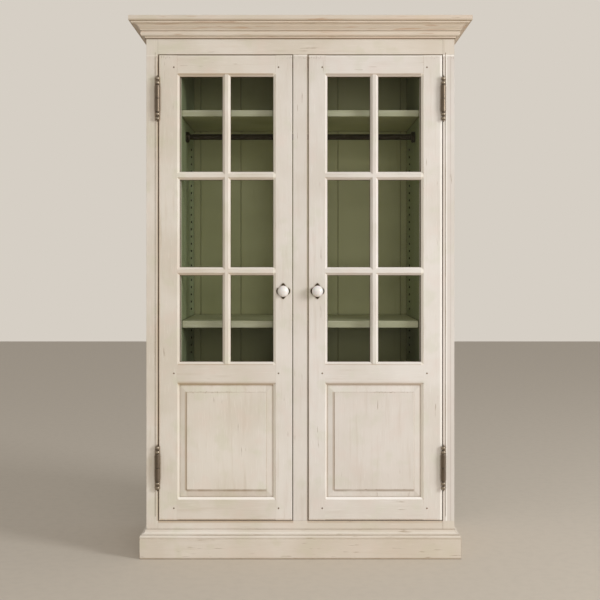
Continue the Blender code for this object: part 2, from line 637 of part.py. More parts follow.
def build_glazing(side, label, axis, cutters):
    """The glazing bars, halved into each other where they cross, and the glass behind them."""
    front_half = BAR_DEPTH / 2
    bar_back = BAR_DEPTH - CLEARANCE
    blank_half = BAR_WIDTH / 2 + BAR_SHOULDER
    end_play = BAR_SHOULDER + CLEARANCE
    bar_middles = {"lower": LOWER_BAR_LOW + BAR_WIDTH / 2, "upper": UPPER_BAR_LOW + BAR_WIDTH / 2}
    upright = side_box(f"{label}_door_vertical_bar", side, (BAR_MIDDLE - blank_half, BAR_MIDDLE + blank_half),
                       (0, bar_back), (LITES_LOW + end_play, LITES_HIGH - end_play), "cream_paint", axis)
    shape_with(upright, cutters["lites"])
    low_x, high_x = span(side, BAR_MIDDLE - blank_half - CUT_OVERRUN, BAR_MIDDLE + blank_half + CUT_OVERRUN)
    laps = [((low_x, behind(front_half), middle - blank_half - CLEARANCE),
             (high_x, behind(BAR_DEPTH + CUT_OVERRUN), middle + blank_half + CLEARANCE))
            for middle in bar_middles.values()]
    shape_with(upright, box_cutter(f"{label}_upright_laps", laps))
    low_x, high_x = span(side, BAR_MIDDLE - blank_half - CLEARANCE, BAR_MIDDLE + blank_half + CLEARANCE)
    for name, middle in bar_middles.items():
        bar = side_box(f"{label}_door_{name}_bar", side, (SIGHT_FREE + end_play, SIGHT_OUTER - end_play),
                       (0, bar_back), (middle - blank_half, middle + blank_half), "cream_paint", axis)
        shape_with(bar, cutters["lites"])
        lap = [((low_x, behind(-CUT_OVERRUN), middle - blank_half - CUT_OVERRUN),
                (high_x, behind(front_half + CLEARANCE), middle + blank_half + CUT_OVERRUN))]
        shape_with(bar, box_cutter(f"{label}_{name}_lap", lap))
    reach = REBATE_WIDTH - GLASS_PLAY
    side_box(f"{label}_door_glass", side, (SIGHT_FREE - reach, SIGHT_OUTER + reach),
             (BAR_DEPTH + CLEARANCE, BAR_DEPTH + CLEARANCE + GLASS_THICKNESS),
             (LITES_LOW - reach, LITES_HIGH + reach), "clear_glass", axis)


def build_panel(side, label, axis):
    """The raised and fielded panel, floating in the grooves of the stiles and rails."""
    reach = GROOVE_DEPTH - PANEL_PLAY
    tongue_front = GROOVE_SETBACK + CLEARANCE
    panel = side_box(f"{label}_door_panel", side, (SIGHT_FREE - reach, SIGHT_OUTER + reach),
                     (tongue_front, GROOVE_SETBACK + GROOVE_WIDTH - CLEARANCE),
                     (PANEL_LOW - reach, PANEL_HIGH + reach), "cream_paint", axis)
    bm = bmesh.new()
    bm.from_mesh(panel.data)
    front = min(bm.faces, key=lambda face: face.calc_center_median().y)
    bmesh.ops.inset_region(bm, faces=[front], thickness=reach, use_even_offset=True)
    bmesh.ops.inset_region(bm, faces=[front], thickness=FIELD_MARGIN, use_even_offset=True)
    slope = tongue_front - FIELD_SETBACK - FIELD_STEP
    bmesh.ops.translate(bm, verts=front.verts, vec=(0, -slope, 0))
    raised = bmesh.ops.extrude_discrete_faces(bm, faces=[front])["faces"][0]
    bmesh.ops.translate(bm, verts=raised.verts, vec=(0, -FIELD_STEP, 0))
    bm.to_mesh(panel.data)
    bm.free()


def build_knob(side, label, axis):
    """The white knob and the four-lobed plate behind it."""
    across = side * (DOOR_FREE + KNOB_INSET)
    height = DOOR_BOTTOM + KNOB_RISE
    outline = []
    for index in range(BACKPLATE_POINTS):
        angle = 2 * math.pi * index / BACKPLATE_POINTS
        lobe = abs(math.cos(2 * angle))
        wide = BACKPLATE_WAIST + (BACKPLATE_HALF_WIDTH - BACKPLATE_WAIST) * lobe
        tall = BACKPLATE_WAIST + (BACKPLATE_HALF_HEIGHT - BACKPLATE_WAIST) * lobe
        outline.append((across + wide * math.cos(angle), height + tall * math.sin(angle)))
    upright_plate(f"{label}_door_backplate", outline, -(CLEARANCE + BACKPLATE_THICKNESS), BACKPLATE_THICKNESS,
                  "dark_bronze", axis)
    outline = [(KNOB_RADIUS * out, KNOB_HEIGHT * up) for out, up in KNOB_OUTLINE_SHARES]
    seat = -(2 * CLEARANCE + BACKPLATE_THICKNESS)
    turned_piece(f"{label}_door_knob", outline, KNOB_SIDES, (across, behind(seat), height), "porcelain", axis,
                 turn=(math.radians(90), 0, 0))


def build_hinge(side, label, level, height, axis):
    """One lift-off hinge: the frame half carries the pin, and the door half drops over it."""
    finial = [(KNUCKLE_RADIUS * out, KNUCKLE_LENGTH + FINIAL_HEIGHT * up) for out, up in FINIAL_SHARES]
    joint_play = CLEARANCE / 2
    bore = (HINGE_PIN_RADIUS + HINGE_PIN_FIT) / math.cos(math.pi / HINGE_SIDES)
    bore_top = HINGE_PIN_LENGTH + HINGE_PIN_END_PLAY
    door_outline = finial + [(KNUCKLE_RADIUS, joint_play), (bore, joint_play), (bore, bore_top), (0, bore_top)]
    frame_outline = [(0, HINGE_PIN_LENGTH), (HINGE_PIN_RADIUS, HINGE_PIN_LENGTH),
                     (HINGE_PIN_RADIUS, -joint_play), (KNUCKLE_RADIUS, -joint_play)]
    frame_outline += [(out, -up) for out, up in reversed(finial)]
    leaf_root = (bore + KNUCKLE_RADIUS) / 2
    depths = (HINGE_FRONT + leaf_root, LEAF_DEPTH)
    across = (DOOR_OUTER + CLEARANCE, FRAME_INNER - CLEARANCE)
    place = (side * HINGE_X, behind(HINGE_FRONT), height)
    leaf_far = KNUCKLE_LENGTH - LEAF_END_MARGIN
    for half, outline, direction, carrier in (("door", door_outline, 1, axis), ("frame", frame_outline, -1, None)):
        name = f"{label}_{level}_hinge_{half}_half"
        knuckle = turned_piece(name, outline, HINGE_SIDES, place, "aged_pewter", carrier)
        low_x, high_x = span(side, *across)
        low_z, high_z = span(direction, LEAF_END_MARGIN, leaf_far)
        leaf = box_cutter(f"{name}_leaf", [((low_x, behind(depths[0]), height + low_z),
                                            (high_x, behind(depths[1]), height + high_z))])
        shape_with(knuckle, leaf, "UNION")


def build_door(side, label):
    """One whole door, hung on an empty that stands on its hinge axis."""
    axis = bpy.data.objects.new(f"{label}_door_axis", None)
    axis.location = (side * HINGE_X, behind(HINGE_FRONT), (DOOR_BOTTOM + DOOR_TOP) / 2)
    ARMOIRE.objects.link(axis)
    cutters = door_cutters(side, label)
    build_stiles(side, label, axis, cutters)
    build_rails(side, label, axis, cutters)
    build_glazing(side, label, axis, cutters)
    build_panel(side, label, axis)
    build_knob(side, label, axis)
    build_hinge(side, label, "upper", DOOR_TOP - UPPER_HINGE_DROP, axis)
    build_hinge(side, label, "lower", DOOR_BOTTOM + LOWER_HINGE_RISE, axis)


build_cornice()
build_plinth()
build_front_frame()
build_carcass()
build_liners()
build_shelves()
build_hanging_rod()
build_catch()
for door_side, door_label in SIDES:
    build_door(door_side, door_label)
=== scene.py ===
import math
from functools import reduce

import bmesh
import bpy
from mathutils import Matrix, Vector


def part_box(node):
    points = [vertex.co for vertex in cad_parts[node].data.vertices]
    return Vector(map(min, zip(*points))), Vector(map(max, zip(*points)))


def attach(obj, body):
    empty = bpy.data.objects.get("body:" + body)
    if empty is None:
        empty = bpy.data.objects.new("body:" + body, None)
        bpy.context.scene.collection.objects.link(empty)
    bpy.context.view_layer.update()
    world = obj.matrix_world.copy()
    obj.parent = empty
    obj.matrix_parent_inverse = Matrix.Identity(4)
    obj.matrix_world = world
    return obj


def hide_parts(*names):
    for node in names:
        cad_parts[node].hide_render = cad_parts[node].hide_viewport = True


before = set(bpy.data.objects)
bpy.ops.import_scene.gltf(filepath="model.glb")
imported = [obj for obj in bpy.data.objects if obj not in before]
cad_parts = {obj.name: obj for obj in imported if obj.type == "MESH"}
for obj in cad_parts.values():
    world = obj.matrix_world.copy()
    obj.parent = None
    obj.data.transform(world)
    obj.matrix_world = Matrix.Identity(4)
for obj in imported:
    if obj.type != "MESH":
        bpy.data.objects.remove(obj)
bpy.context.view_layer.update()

# Planes and edges of the cupboard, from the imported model
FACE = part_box("frame_mullion")[0].y
FRAME_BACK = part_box("frame_mullion")[1].y
BODY_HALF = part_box("top_board")[1].x
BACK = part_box("top_board")[1].y
DOOR_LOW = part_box("left_door_hinge_stile")[0].z
DOOR_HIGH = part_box("left_door_hinge_stile")[1].z
CORNICE_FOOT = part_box("cornice_front")[0].z
PLINTH_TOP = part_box("plinth_front")[1].z
SIDES = ((-1, "left"), (1, "right"))
INSIDE_HALF = 0.485

# Camera, at the photograph's place and height
CAMERA_DISTANCE = 4.5
CAMERA_HEIGHT = 1.195
CAMERA_LENS = 66.8
CAMERA_SHIFT = (-0.0006, -0.0633)

# Eased edges of the boards, and the angles up to which edges shade smooth
BOARD_EASE = 0.0008
FINE_EASE = 0.0005
SHARP_ANGLE = math.radians(50)
SMOOTH_ANGLE = math.radians(32)
PANEL_SMOOTH = math.radians(4)
HINGE_SMOOTH = math.radians(40)
KNOB_SMOOTH = math.radians(60)

# The share of a face's normal along an axis from which it counts as facing that way
FACING = 0.9

# Door members, and the moulded slope beside the glass and the panel
MOULD_WIDTH = 0.0095
MOULD_DEPTH = 0.0080
SIGHT_OUTER = 0.4885
SIGHT_FREE = 0.109
DOOR_OUTER = 0.573
DOOR_FREE = 0.032
LITE_LOW = 0.791
LITE_HIGH = 1.9455
BAR_HALF = 0.016
BAR_MIDDLE = (SIGHT_OUTER + SIGHT_FREE) / 2
LOWER_BAR = 1.1577
UPPER_BAR = 1.544
LOCK_RAIL_LOW = 0.697
PANEL_LOW = 0.244
DOOR_THICKNESS = 0.022
ARRIS = 0.0032
ARRIS_STEPS = 5
BACK_SETBACK = 0.0002
FIELD_MARGIN = 0.029
RAIL_SETBACK = 0.00003
BAR_SETBACK = 0.00009
UPRIGHT_BAR_SETBACK = 0.00006


def object_mode():
    """Leaves edit mode, if it is on, with nothing selected."""
    if bpy.context.mode != "OBJECT":
        bpy.ops.object.mode_set(mode="OBJECT")
    bpy.ops.object.select_all(action="DESELECT")


object_mode()


def pick_all():
    """Selects all of the piece being edited."""
    bpy.ops.mesh.select_all(action="SELECT")


def start_point(place):
    """Starts a new mesh in edit mode as one point."""
    object_mode()
    bpy.ops.mesh.primitive_plane_add(size=MOULD_DEPTH, location=place)
    piece = bpy.context.object
    bpy.ops.object.transform_apply(location=True, rotation=True, scale=True)
    bpy.ops.object.mode_set(mode="EDIT")
    bpy.ops.mesh.select_mode(type="VERT")
    pick_all()
    bpy.ops.mesh.merge(type="CENTER")
    return piece


def draw_line(points):
    """Extrudes one point after another, as a pen would draw them."""
    for last, new in zip(points, points[1:]):
        step = Vector(new) - Vector(last)
        bpy.ops.mesh.extrude_region_move(TRANSFORM_OT_translate={"value": step})


def more_block(low, high):
    """Adds a block between two corners, to the piece being edited if there is one."""
    low, high = Vector(low), Vector(high)
    bpy.ops.mesh.primitive_cube_add(size=1, location=(low + high) / 2, scale=high - low)


def start_block(low, high):
    """Starts a block between two corners, in edit mode."""
    object_mode()
    more_block(low, high)
    piece = bpy.context.object
    bpy.ops.object.transform_apply(location=True, rotation=True, scale=True)
    bpy.ops.object.mode_set(mode="EDIT")
    return piece


def across(side, inner, outer, front, back, foot, head):
    """The two corners of a block on one side, given by its distances from the middle outwards."""
    return (min(side * inner, side * outer), front, foot), (max(side * inner, side * outer), back, head)


def pick_faces(piece, wanted):
    """Selects the faces of the piece being edited that pass a test."""
    bpy.ops.mesh.select_mode(type="FACE")
    bm = bmesh.from_edit_mesh(piece.data)
    for face in bm.faces:
        face.select_set(wanted(face))
    bm.select_flush(False)
    bmesh.update_edit_mesh(piece.data)


def pick_edges(piece, wanted):
    """Selects the edges of the piece being edited that pass a test."""
    bpy.ops.mesh.select_mode(type="EDGE")
    bm = bmesh.from_edit_mesh(piece.data)
    for face in bm.faces:
        face.select_set(False)
    for edge in bm.edges:
        edge.select_set(wanted(edge))
    bmesh.update_edit_mesh(piece.data)


def close_outline_and_run(piece, along):
    """Fills the drawn outline and extrudes it into a length of moulding."""
    pick_all()
    bpy.ops.mesh.edge_face_add()
    bpy.ops.mesh.extrude_region_move(TRANSFORM_OT_translate={"value": along})
    pick_all()
    bpy.ops.mesh.normals_make_consistent(inside=False)


def cut_end(place, outward):
    """Cuts off what lies outside a plane and closes the cut, as a mitre saw does."""
    pick_all()
    bpy.ops.mesh.bisect(plane_co=place, plane_no=outward, use_fill=True, clear_outer=True)


def pick_piece(piece):
    """Leaves edit mode, with one piece selected."""
    object_mode()
    bpy.context.view_layer.objects.active = piece
    piece.select_set(True)


def use_modifier(piece, kind, **settings):
    """Puts a modifier on a piece and applies it."""
    pick_piece(piece)
    modifier = piece.modifiers.new(kind.lower(), kind)
    for words, value in settings.items():
        setattr(modifier, words, value)
    bpy.ops.object.modifier_apply(modifier=modifier.name)


def ease_edges(piece, width, segments=2):
    """Rounds the sharp edges of a finished shape by a small radius."""
    use_modifier(piece, "BEVEL", width=width, segments=segments, limit_method="ANGLE",
                 angle_limit=SHARP_ANGLE, use_clamp_overlap=True)


def finish_piece(piece, name, body, finish, nodes=(), smooth=SMOOTH_ANGLE):
    """Names a shape, shades it, gives it its material and hangs it on its body."""
    pick_piece(piece)
    bpy.ops.object.shade_smooth_by_angle(angle=smooth)
    use_modifier(piece, "WEIGHTED_NORMAL", keep_sharp=True)
    piece.name = name
    piece.data.name = name
    piece.data.materials.clear()
    piece.data.materials.append(finish)
    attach(piece, body)
    if nodes:
        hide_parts(*nodes)
    piece.select_set(False)


def turn_outline(outline, place, axis, steps):
    """Turns a drawn outline round an axis. The outline is in distance from the axis and height along it."""
    axis = Vector(axis)
    outward = axis.orthogonal().normalized()
    points = [Vector(place) + outward * out + axis * up for out, up in outline]
    piece = start_point(points[0])
    draw_line(points)
    pick_all()
    bpy.ops.mesh.spin(steps=steps, angle=2 * math.pi, center=place, axis=axis)
    pick_all()
    bpy.ops.mesh.remove_doubles(threshold=FINE_EASE / 50)
    bpy.ops.mesh.normals_make_consistent(inside=False)
    return piece


def arc(centre, radius_out, radius_up, start, end, steps):
    """Points along a round stretch of an outline, between two angles in degrees."""
    points = []
    for step in range(steps + 1):
        angle = math.radians(start + (end - start) * step / steps)
        points.append((centre[0] + radius_out * math.cos(angle), centre[1] + radius_up * math.sin(angle)))
    return points


# Finishes

UPRIGHT = (1.0, 1.0, 0.07)
LEVEL = (0.07, 1.0, 1.0)
EVEN = (1.0, 1.0, 1.0)


def shade(red, green, blue):
    """A colour given as it shows on a screen, 0 to 255, for a node's linear socket."""
    linear = []
    for part in (red, green, blue):
        part /= 255
        linear.append(part / 12.92 if part <= 0.04045 else ((part + 0.055) / 1.055) ** 2.4)
    return (*linear, 1.0)


def add_node(tree, kind, sockets=None, **settings):
    """Adds a node, makes its settings, sets or links its sockets, and gives its outputs."""
    node = tree.nodes.new("ShaderNode" + kind)
    for words, value in settings.items():
        setattr(node, words, value)
    for socket, value in (sockets or {}).items():
        if isinstance(value, bpy.types.NodeSocket):
            tree.links.new(value, node.inputs[socket])
        else:
            node.inputs[socket].default_value = value
    return node.outputs


class Recipe:
    """A material made coat by coat, with short calls for the masks that a painted finish needs."""

    def __init__(self, name):
        self.material = bpy.data.materials.new(name)
        self.material.use_nodes = True
        self.material.node_tree.nodes.clear()
        self.place = self.add("TexCoord")["Object"]
        self.colour = None

    def add(self, kind, sockets=None, **settings):
        """A node of this material."""
        return add_node(self.material.node_tree, kind, sockets, **settings)

    def axis(self, letter):
        """One part of a place on the object: X across, Y back or Z up."""
        return self.add("SeparateXYZ", {"Vector": self.place})[letter]

    def facing_up(self):
        """How far a surface faces up: 1 level, 0 upright, -1 facing the floor."""
        return self.add("SeparateXYZ", {"Vector": self.add("NewGeometry")["Normal"]})["Z"]

    def stretched(self, stretch, shift):
        """Object coordinates, squeezed so that a pattern grows long the other way."""
        return self.add("Mapping", {"Vector": self.place, "Scale": stretch, "Location": shift})["Vector"]

    def noise(self, stretch, scale, detail=4.0, roughness=0.55, shift=(0, 0, 0)):
        """Cloudy or streaky noise, from 0 to 1."""
        sockets = {"Vector": self.stretched(stretch, shift), "Scale": scale, "Detail": detail}
        return self.add("TexNoise", {**sockets, "Roughness": roughness})["Fac"]

    def cells(self, stretch, scale, feature="F1", shift=(0, 0, 0)):
        """Distances in a cellular pattern: specks, knots and crackle."""
        sockets = {"Vector": self.stretched(stretch, shift), "Scale": scale}
        return self.add("TexVoronoi", sockets, feature=feature)["Distance"]

    def ramp(self, value, low, high, start=0.0, end=1.0):
        """Stretches a value between two limits, smoothly."""
        sockets = {"Value": value, "From Min": low, "From Max": high, "To Min": start, "To Max": end}
        return self.add("MapRange", sockets, interpolation_type="SMOOTHSTEP")["Result"]

    def sum(self, operation, *values):
        """One step of arithmetic."""
        return self.add("Math", dict(enumerate(values)), operation=operation)["Value"]

    def most(self, *masks):
        """The strongest of several masks."""
        return reduce(lambda first, second: self.sum("MAXIMUM", first, second), masks)

    def times(self, *masks):
        """Several masks multiplied together."""
        return reduce(lambda first, second: self.sum("MULTIPLY", first, second), masks)

    def less(self, mask):
        """All that a mask leaves out."""
        return self.sum("SUBTRACT", 1.0, mask)

    def band(self, value, centre, full, none):
        """1 within a distance of a line, falling to 0 further from it."""
        return self.ramp(self.sum("ABSOLUTE", self.sum("SUBTRACT", value, centre)), none, full)

    def lines(self, rows):
        """The strongest of several bands. A row is a band's axis, place and distances, then its masks."""
        return self.most(*(self.times(self.band(*row[:4]), *row[4:]) for row in rows))

    def between(self, value, low, high, soft=0.003):
        """1 between two places, 0 outside."""
        return self.band(value, (low + high) / 2, (high - low) / 2, (high - low) / 2 + soft)

    def layer(self, under, over, amount):
        """One colour over another."""
        return self.add("Mix", {0: amount, 6: under, 7: over}, data_type="RGBA")[2]

    def coat(self, red, green, blue, *masks):
        """Lays a coat over the colour so far, as thick as all its masks together."""
        self.colour = self.layer(self.colour, shade(red, green, blue), self.times(*masks))

    def crevice(self, reach, low, high):
        """1 deep in a corner, 0 on open surfaces."""
        return self.ramp(self.add("AmbientOcclusion", {"Distance": reach}, samples=8)["AO"], high, low)

    def worn_edge(self, radius, low, high):
        """1 along outer edges, where handling rubs the paint away."""
        rounded = self.add("Bevel", {"Radius": radius}, samples=6)["Normal"]
        normals = {0: rounded, 1: self.add("NewGeometry")["Normal"]}
        return self.ramp(self.add("VectorMath", normals, operation="DOT_PRODUCT")["Value"], high, low)

    def relief(self, heights, distance):
        """Bump from one or more heights, each with its own strength."""
        under = {}
        for height, strength in heights:
            sockets = {"Height": height, "Strength": strength, "Distance": distance, **under}
            under = {"Normal": self.add("Bump", sockets)["Normal"]}
        return under

    def surface(self, roughness, relief, **uniform):
        """The shader over all coats, and the finished material. Uniform values go on its sockets."""
        sockets = {words.replace("_", " "): value for words, value in uniform.items()}
        sockets.update({"Base Color": self.colour, "Roughness": roughness, **relief})
        shader = self.add("BsdfPrincipled", sockets)
        self.add("OutputMaterial", {"Surface": shader["BSDF"]})
        return self.material


# Lines and edges on the front, which the paint follows
HINGE_GAP = 0.5745
POST_GAP = 0.0305
SILL_LINE = 0.1505
HEAD_LINE = 2.0325
PANEL_HEAD = 0.6985
PANEL_SIDE = 0.1080
FIELD_INNER = SIGHT_FREE + FIELD_MARGIN
FIELD_OUTER = SIGHT_OUTER - FIELD_MARGIN
FIELD_HEAD = LOCK_RAIL_LOW - FIELD_MARGIN
FIELD_FOOT = 0.2725
LITE_FOOT = 0.780
LITE_HEAD = 1.956
BEAD_LINE = 0.6067
OUTER_GAP = 0.5750
OUTER_ARRIS = 0.5683
FRAME_ARRIS = 0.5905
GLASS_SLOPES = ((-0.1095, -0.0995), (0.4880, 0.4985))
PLINTH_QUIRKS = ((0.0955, 0.0007, 0.0022), (0.0818, 0.0007, 0.0020, 0.6), (0.1135, 0.0006, 0.0020, 0.7))
PANEL_SLOPES = (0.240, 0.700)
FOOT_SLOPE = (0.2350, 0.2430, 0.0008)
SLOPE_WIDE = (0.105, 0.492)
LITES_WIDE = (0.098, 0.500)
RAIL_MIDDLE = (0.110, 0.500, 0.040)
LEFT_RAILS = (-0.499, -0.099)
BACK_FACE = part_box("back_panel")[0].y
BACK_GROOVES = tuple(INSIDE_HALF * share for share in (-0.936, -0.559, -0.124, 0.353, 0.682, 0.940))
BOARD_CHANGES = (0.45, -0.60, 0.70, -0.55, 0.40, -0.35)
HINGE_HEIGHTS = (("upper", 1.855), ("lower", 0.364))
BALL_HEIGHTS = (-0.0808, -0.0632, 0.0632, 0.0808)
HINGE_BALLS = [height + away for level, height in HINGE_HEIGHTS for away in BALL_HEIGHTS]
COVE_FOOT = CORNICE_FOOT + 0.0325
COVE_HEAD = CORNICE_FOOT + 0.0532
BEAD_FRONT = CORNICE_FOOT + 0.0210
FILLET_FRONT = CORNICE_FOOT + 0.0603
LOW_FILLET = CORNICE_FOOT + 0.0070
FASCIA_FOOT = CORNICE_FOOT + 0.0675


class MilkPaint(Recipe):
    """Cream paint brushed along the board, waxed brown in the recesses, with worn arrises, and with painted
    light and shade on its slopes, arrises, gaps and recesses.
    """

    def __init__(self, name, along):
        super().__init__(name)
        self.along = along
        self.x, self.z, self.tilt = self.axis("X"), self.axis("Z"), self.facing_up()
        self.wide = self.sum("ABSOLUTE", self.x)
        self.strokes = self.noise(along, 60.0, 5.0, 0.55)
        self.fine_strokes = self.noise(along, 240.0, 2.0, 0.5, (3, 1, 2))
        self.patches = self.noise(EVEN, 6.5, 4.0, 0.6, (7, 5, 1))
        self.wiped = self.ramp(self.noise(along, 26.0, 3.0, 0.6, (6, 2, 8)), 0.30, 0.60, 0.55, 1.0)
        self.doorway = self.between(self.z, SILL_LINE, HEAD_LINE)
        self.panel = self.between(self.z, PANEL_LOW, LOCK_RAIL_LOW)
        self.across_field = self.between(self.wide, FIELD_INNER, FIELD_OUTER)
        # Painted highlight mask: the up-facing slope under each panel.
        self.lit_foot_slope = self.times(self.between(self.z, *FOOT_SLOPE), self.between(self.wide, *SLOPE_WIDE))
        self.crown = self.ramp(self.z, CORNICE_FOOT - 0.001, CORNICE_FOOT + 0.003)

    def brush_ground(self):
        """Uneven cream, blushed warm and green in places, with brush marks."""
        clouds = self.noise(EVEN, 3.2, 3.0, 0.5)
        blush = self.noise(EVEN, 11.0, 3.0, 0.5, (1, 4, 6))
        self.colour = shade(228, 220, 209)
        self.coat(216, 206, 191, self.ramp(clouds, 0.35, 0.68))
        self.coat(226, 207, 194, self.ramp(blush, 0.52, 0.70, 0.0, 0.28))
        self.coat(208, 206, 180, self.ramp(blush, 0.48, 0.32, 0.0, 0.35))
        self.coat(196, 180, 156, self.ramp(self.strokes, 0.52, 0.80, 0.0, 0.36))
        self.coat(240, 234, 224, self.ramp(self.fine_strokes, 0.54, 0.74, 0.0, 0.28))

    def wax_and_painted_shade(self):
        """Wax and painted shade in the gaps round the doors, over the sill, and along the panels and the
        glass.
        """
        x, z, wide = self.x, self.z, self.wide
        fields = self.between(z, FIELD_FOOT, FIELD_HEAD)
        rails = self.between(wide, SIGHT_FREE - 0.006, SIGHT_OUTER + 0.0055)
        lites = self.between(wide, SIGHT_FREE - 0.005, SIGHT_OUTER + 0.005)
        # Wax lines along gaps and recesses, partly painted shade where the gaps and recesses fall in shadow.
        # The fields get them only on their left edges, the side away from the key lamp.
        wax_and_shade = self.lines((
            (x, -HINGE_GAP, 0.0020, 0.0095, self.doorway),
            (x, HINGE_GAP + 0.003, 0.0010, 0.0050, self.doorway, 0.5),
            (x, POST_GAP, 0.0015, 0.0085, self.doorway),
            (z, SILL_LINE - 0.002, 0.0020, 0.0120, self.between(wide, 0.03, DOOR_OUTER)),
            (z, PANEL_HEAD + 0.0035, 0.0060, 0.0135, rails, 0.40),
            (z, PANEL_HEAD + 0.0015, 0.0014, 0.0046, rails),
            (x, -FIELD_OUTER - 0.0035, 0.0022, 0.0065, fields, 0.8),
            (x, FIELD_INNER - 0.0035, 0.0022, 0.0065, fields, 0.8),
            (z, LITE_FOOT + 0.0012, 0.0010, 0.0040, lites, 0.8),
            (z, LITE_HEAD - 0.0005, 0.0010, 0.0045, lites),
            (x, PANEL_SIDE, 0.0015, 0.0050, self.panel, 0.8),
        ))
        self.coat(172, 142, 102, wax_and_shade, self.wiped, 0.62)
        # Darker lines under the fields and beside the panels' sides: waxing and painted shade.
        dark_wax_and_shade = self.lines((
            (z, FIELD_FOOT - 0.001, 0.0018, 0.0075, self.across_field),
            (x, -SIGHT_FREE - 0.0038, 0.0012, 0.0036, self.panel, 0.9),
            (x, SIGHT_OUTER - 0.003, 0.0012, 0.0036, self.panel, 0.9),
        ))
        self.coat(136, 110, 72, dark_wax_and_shade, self.wiped, 0.58)

    def paint_slope_light_and_shade(self):
        """Painted light and shade: darker right-hand panel bevels, a painted highlight on the slope below
        each panel, painted shade on faces turned down and painted light on faces turned up, and a painted
        contact shadow at the foot.
        """
        x, z = self.x, self.z
        # Painted shade on the panels' right-hand bevels.
        bevels = self.most(self.between(x, -FIELD_INNER, -SIGHT_FREE, 0.001),
                           self.between(x, FIELD_OUTER, SIGHT_OUTER, 0.001))
        self.coat(150, 128, 98, bevels, self.between(z, PANEL_LOW, LOCK_RAIL_LOW, 0.001), 0.18)
        # Painted highlight: the up-facing slope under each panel is painted near white.
        self.coat(252, 246, 238, self.lit_foot_slope, 0.80)
        # Painted shade on faces that turn down and painted light on faces that turn up, below the cornice.
        below = self.ramp(z, CORNICE_FOOT, CORNICE_FOOT - 0.002)
        self.coat(176, 148, 112, self.ramp(self.tilt, -0.36, -0.60), below, 0.36)
        self.coat(250, 243, 232, self.ramp(self.tilt, 0.36, 0.60), below, 0.40)
        self.coat(158, 132, 104, self.band(x, BEAD_LINE, 0.0008, 0.0034), self.doorway, self.wiped, 0.42)
        # Painted contact shadow: dark brown in the last few millimetres above the floor.
        self.coat(84, 66, 42, self.ramp(z, 0.0030, 0.0008), 0.85)

    def tone_and_light_by_place(self):
        """Browner and cooler stretches: painted shade on the centre post, along the top and on the frame
        round the doors, growing to the right; a painted cool tint to the right; and duller patches low down.
        """
        x, z, wide = self.x, self.z, self.wide
        # Painted shade on the centre post and along the top of the doorway, stronger to the right where the
        # key lamp is brightest.
        shaded_middle_and_top = self.most(self.band(wide, 0.0, 0.026, 0.036), self.ramp(z, 1.84, 2.03))
        self.coat(176, 156, 130, shaded_middle_and_top, self.doorway, self.ramp(x, -0.3, 0.4, 0.06, 0.14))
        # Painted shade on the frame round the doors, growing from left to right against the key lamp's light.
        doors = self.times(self.between(z, SILL_LINE, 2.033), self.between(wide, 0.0, OUTER_GAP))
        self.coat(201, 188, 173, self.less(doors), self.ramp(x, -0.60, 0.62, 0.06, 0.36))
        self.coat(206, 189, 168, self.crown, 0.40)
        # A painted cool tint of the lamp's light, growing to the right and on the right-hand frame edge.
        cooler = self.sum("ADD", self.ramp(x, -0.35, 0.10, 0.0, 0.14), self.ramp(x, 0.57, 0.59, 0.0, 0.03))
        self.coat(224, 226, 240, cooler, self.doorway)
        # Waxing and painted shade in the gap above the doors.
        self.coat(168, 138, 90, self.band(z, DOOR_HIGH + 0.0015, 0.0020, 0.0040),
                  self.between(wide, 0.03, OUTER_GAP), self.wiped, 0.35)
        field = self.times(self.between(x, FIELD_INNER, FIELD_OUTER), self.between(z, FIELD_FOOT, FIELD_HEAD))
        bevel = self.times(self.between(x, -FIELD_OUTER, -FIELD_INNER),
                           self.between(z, 0.2435, FIELD_FOOT, 0.001))
        rails = self.times(self.between(x, *LEFT_RAILS),
                           self.most(self.ramp(z, 0.235, 0.230), self.between(z, 0.708, LITE_FOOT)))
        duller = self.most(self.times(bevel, 0.26), self.times(rails, 0.12), self.times(field, 0.13))
        self.coat(184, 164, 146, duller, self.doorway)

    def mouldings_wax_light_and_shade(self):
        """Wax and painted shade in the hollows of the cornice and plinth, painted highlights on the fillets,
        bead and top of the cove, and wood streaks on the cornice.
        """
        z = self.z
        # Painted shade with waxing toward the cove's foot, and in the hollows under the fillet and the
        # fascia.
        cove = self.times(self.ramp(z, COVE_FOOT + 0.018, COVE_FOOT + 0.002),
                          self.ramp(z, COVE_FOOT + 0.003, COVE_FOOT + 0.006))
        hollows = self.lines(((z, FILLET_FRONT - 0.0040, 0.0005, 0.0018), (z, FASCIA_FOOT, 0.0010, 0.0042)))
        self.coat(160, 136, 104, self.most(cove, hollows), 0.42)
        # Painted highlights on the bead, the top of the cove and the fillets, where the moulding catches
        # light.
        painted_highlights = self.lines((
            (z, BEAD_FRONT, 0.0060, 0.0110, 0.16),
            (z, COVE_HEAD, 0.0025, 0.0075, 0.77),
            (z, FILLET_FRONT, 0.0016, 0.0028, 0.77),
            (z, LOW_FILLET, 0.0022, 0.0034),
        ))
        self.coat(246, 231, 213, painted_highlights, 0.60)
        # Painted shade with waxing: a dark line in the narrow recess at the cornice's foot.
        self.coat(104, 82, 50, self.band(z, CORNICE_FOOT + 0.0032, 0.0010, 0.0028), 0.75)
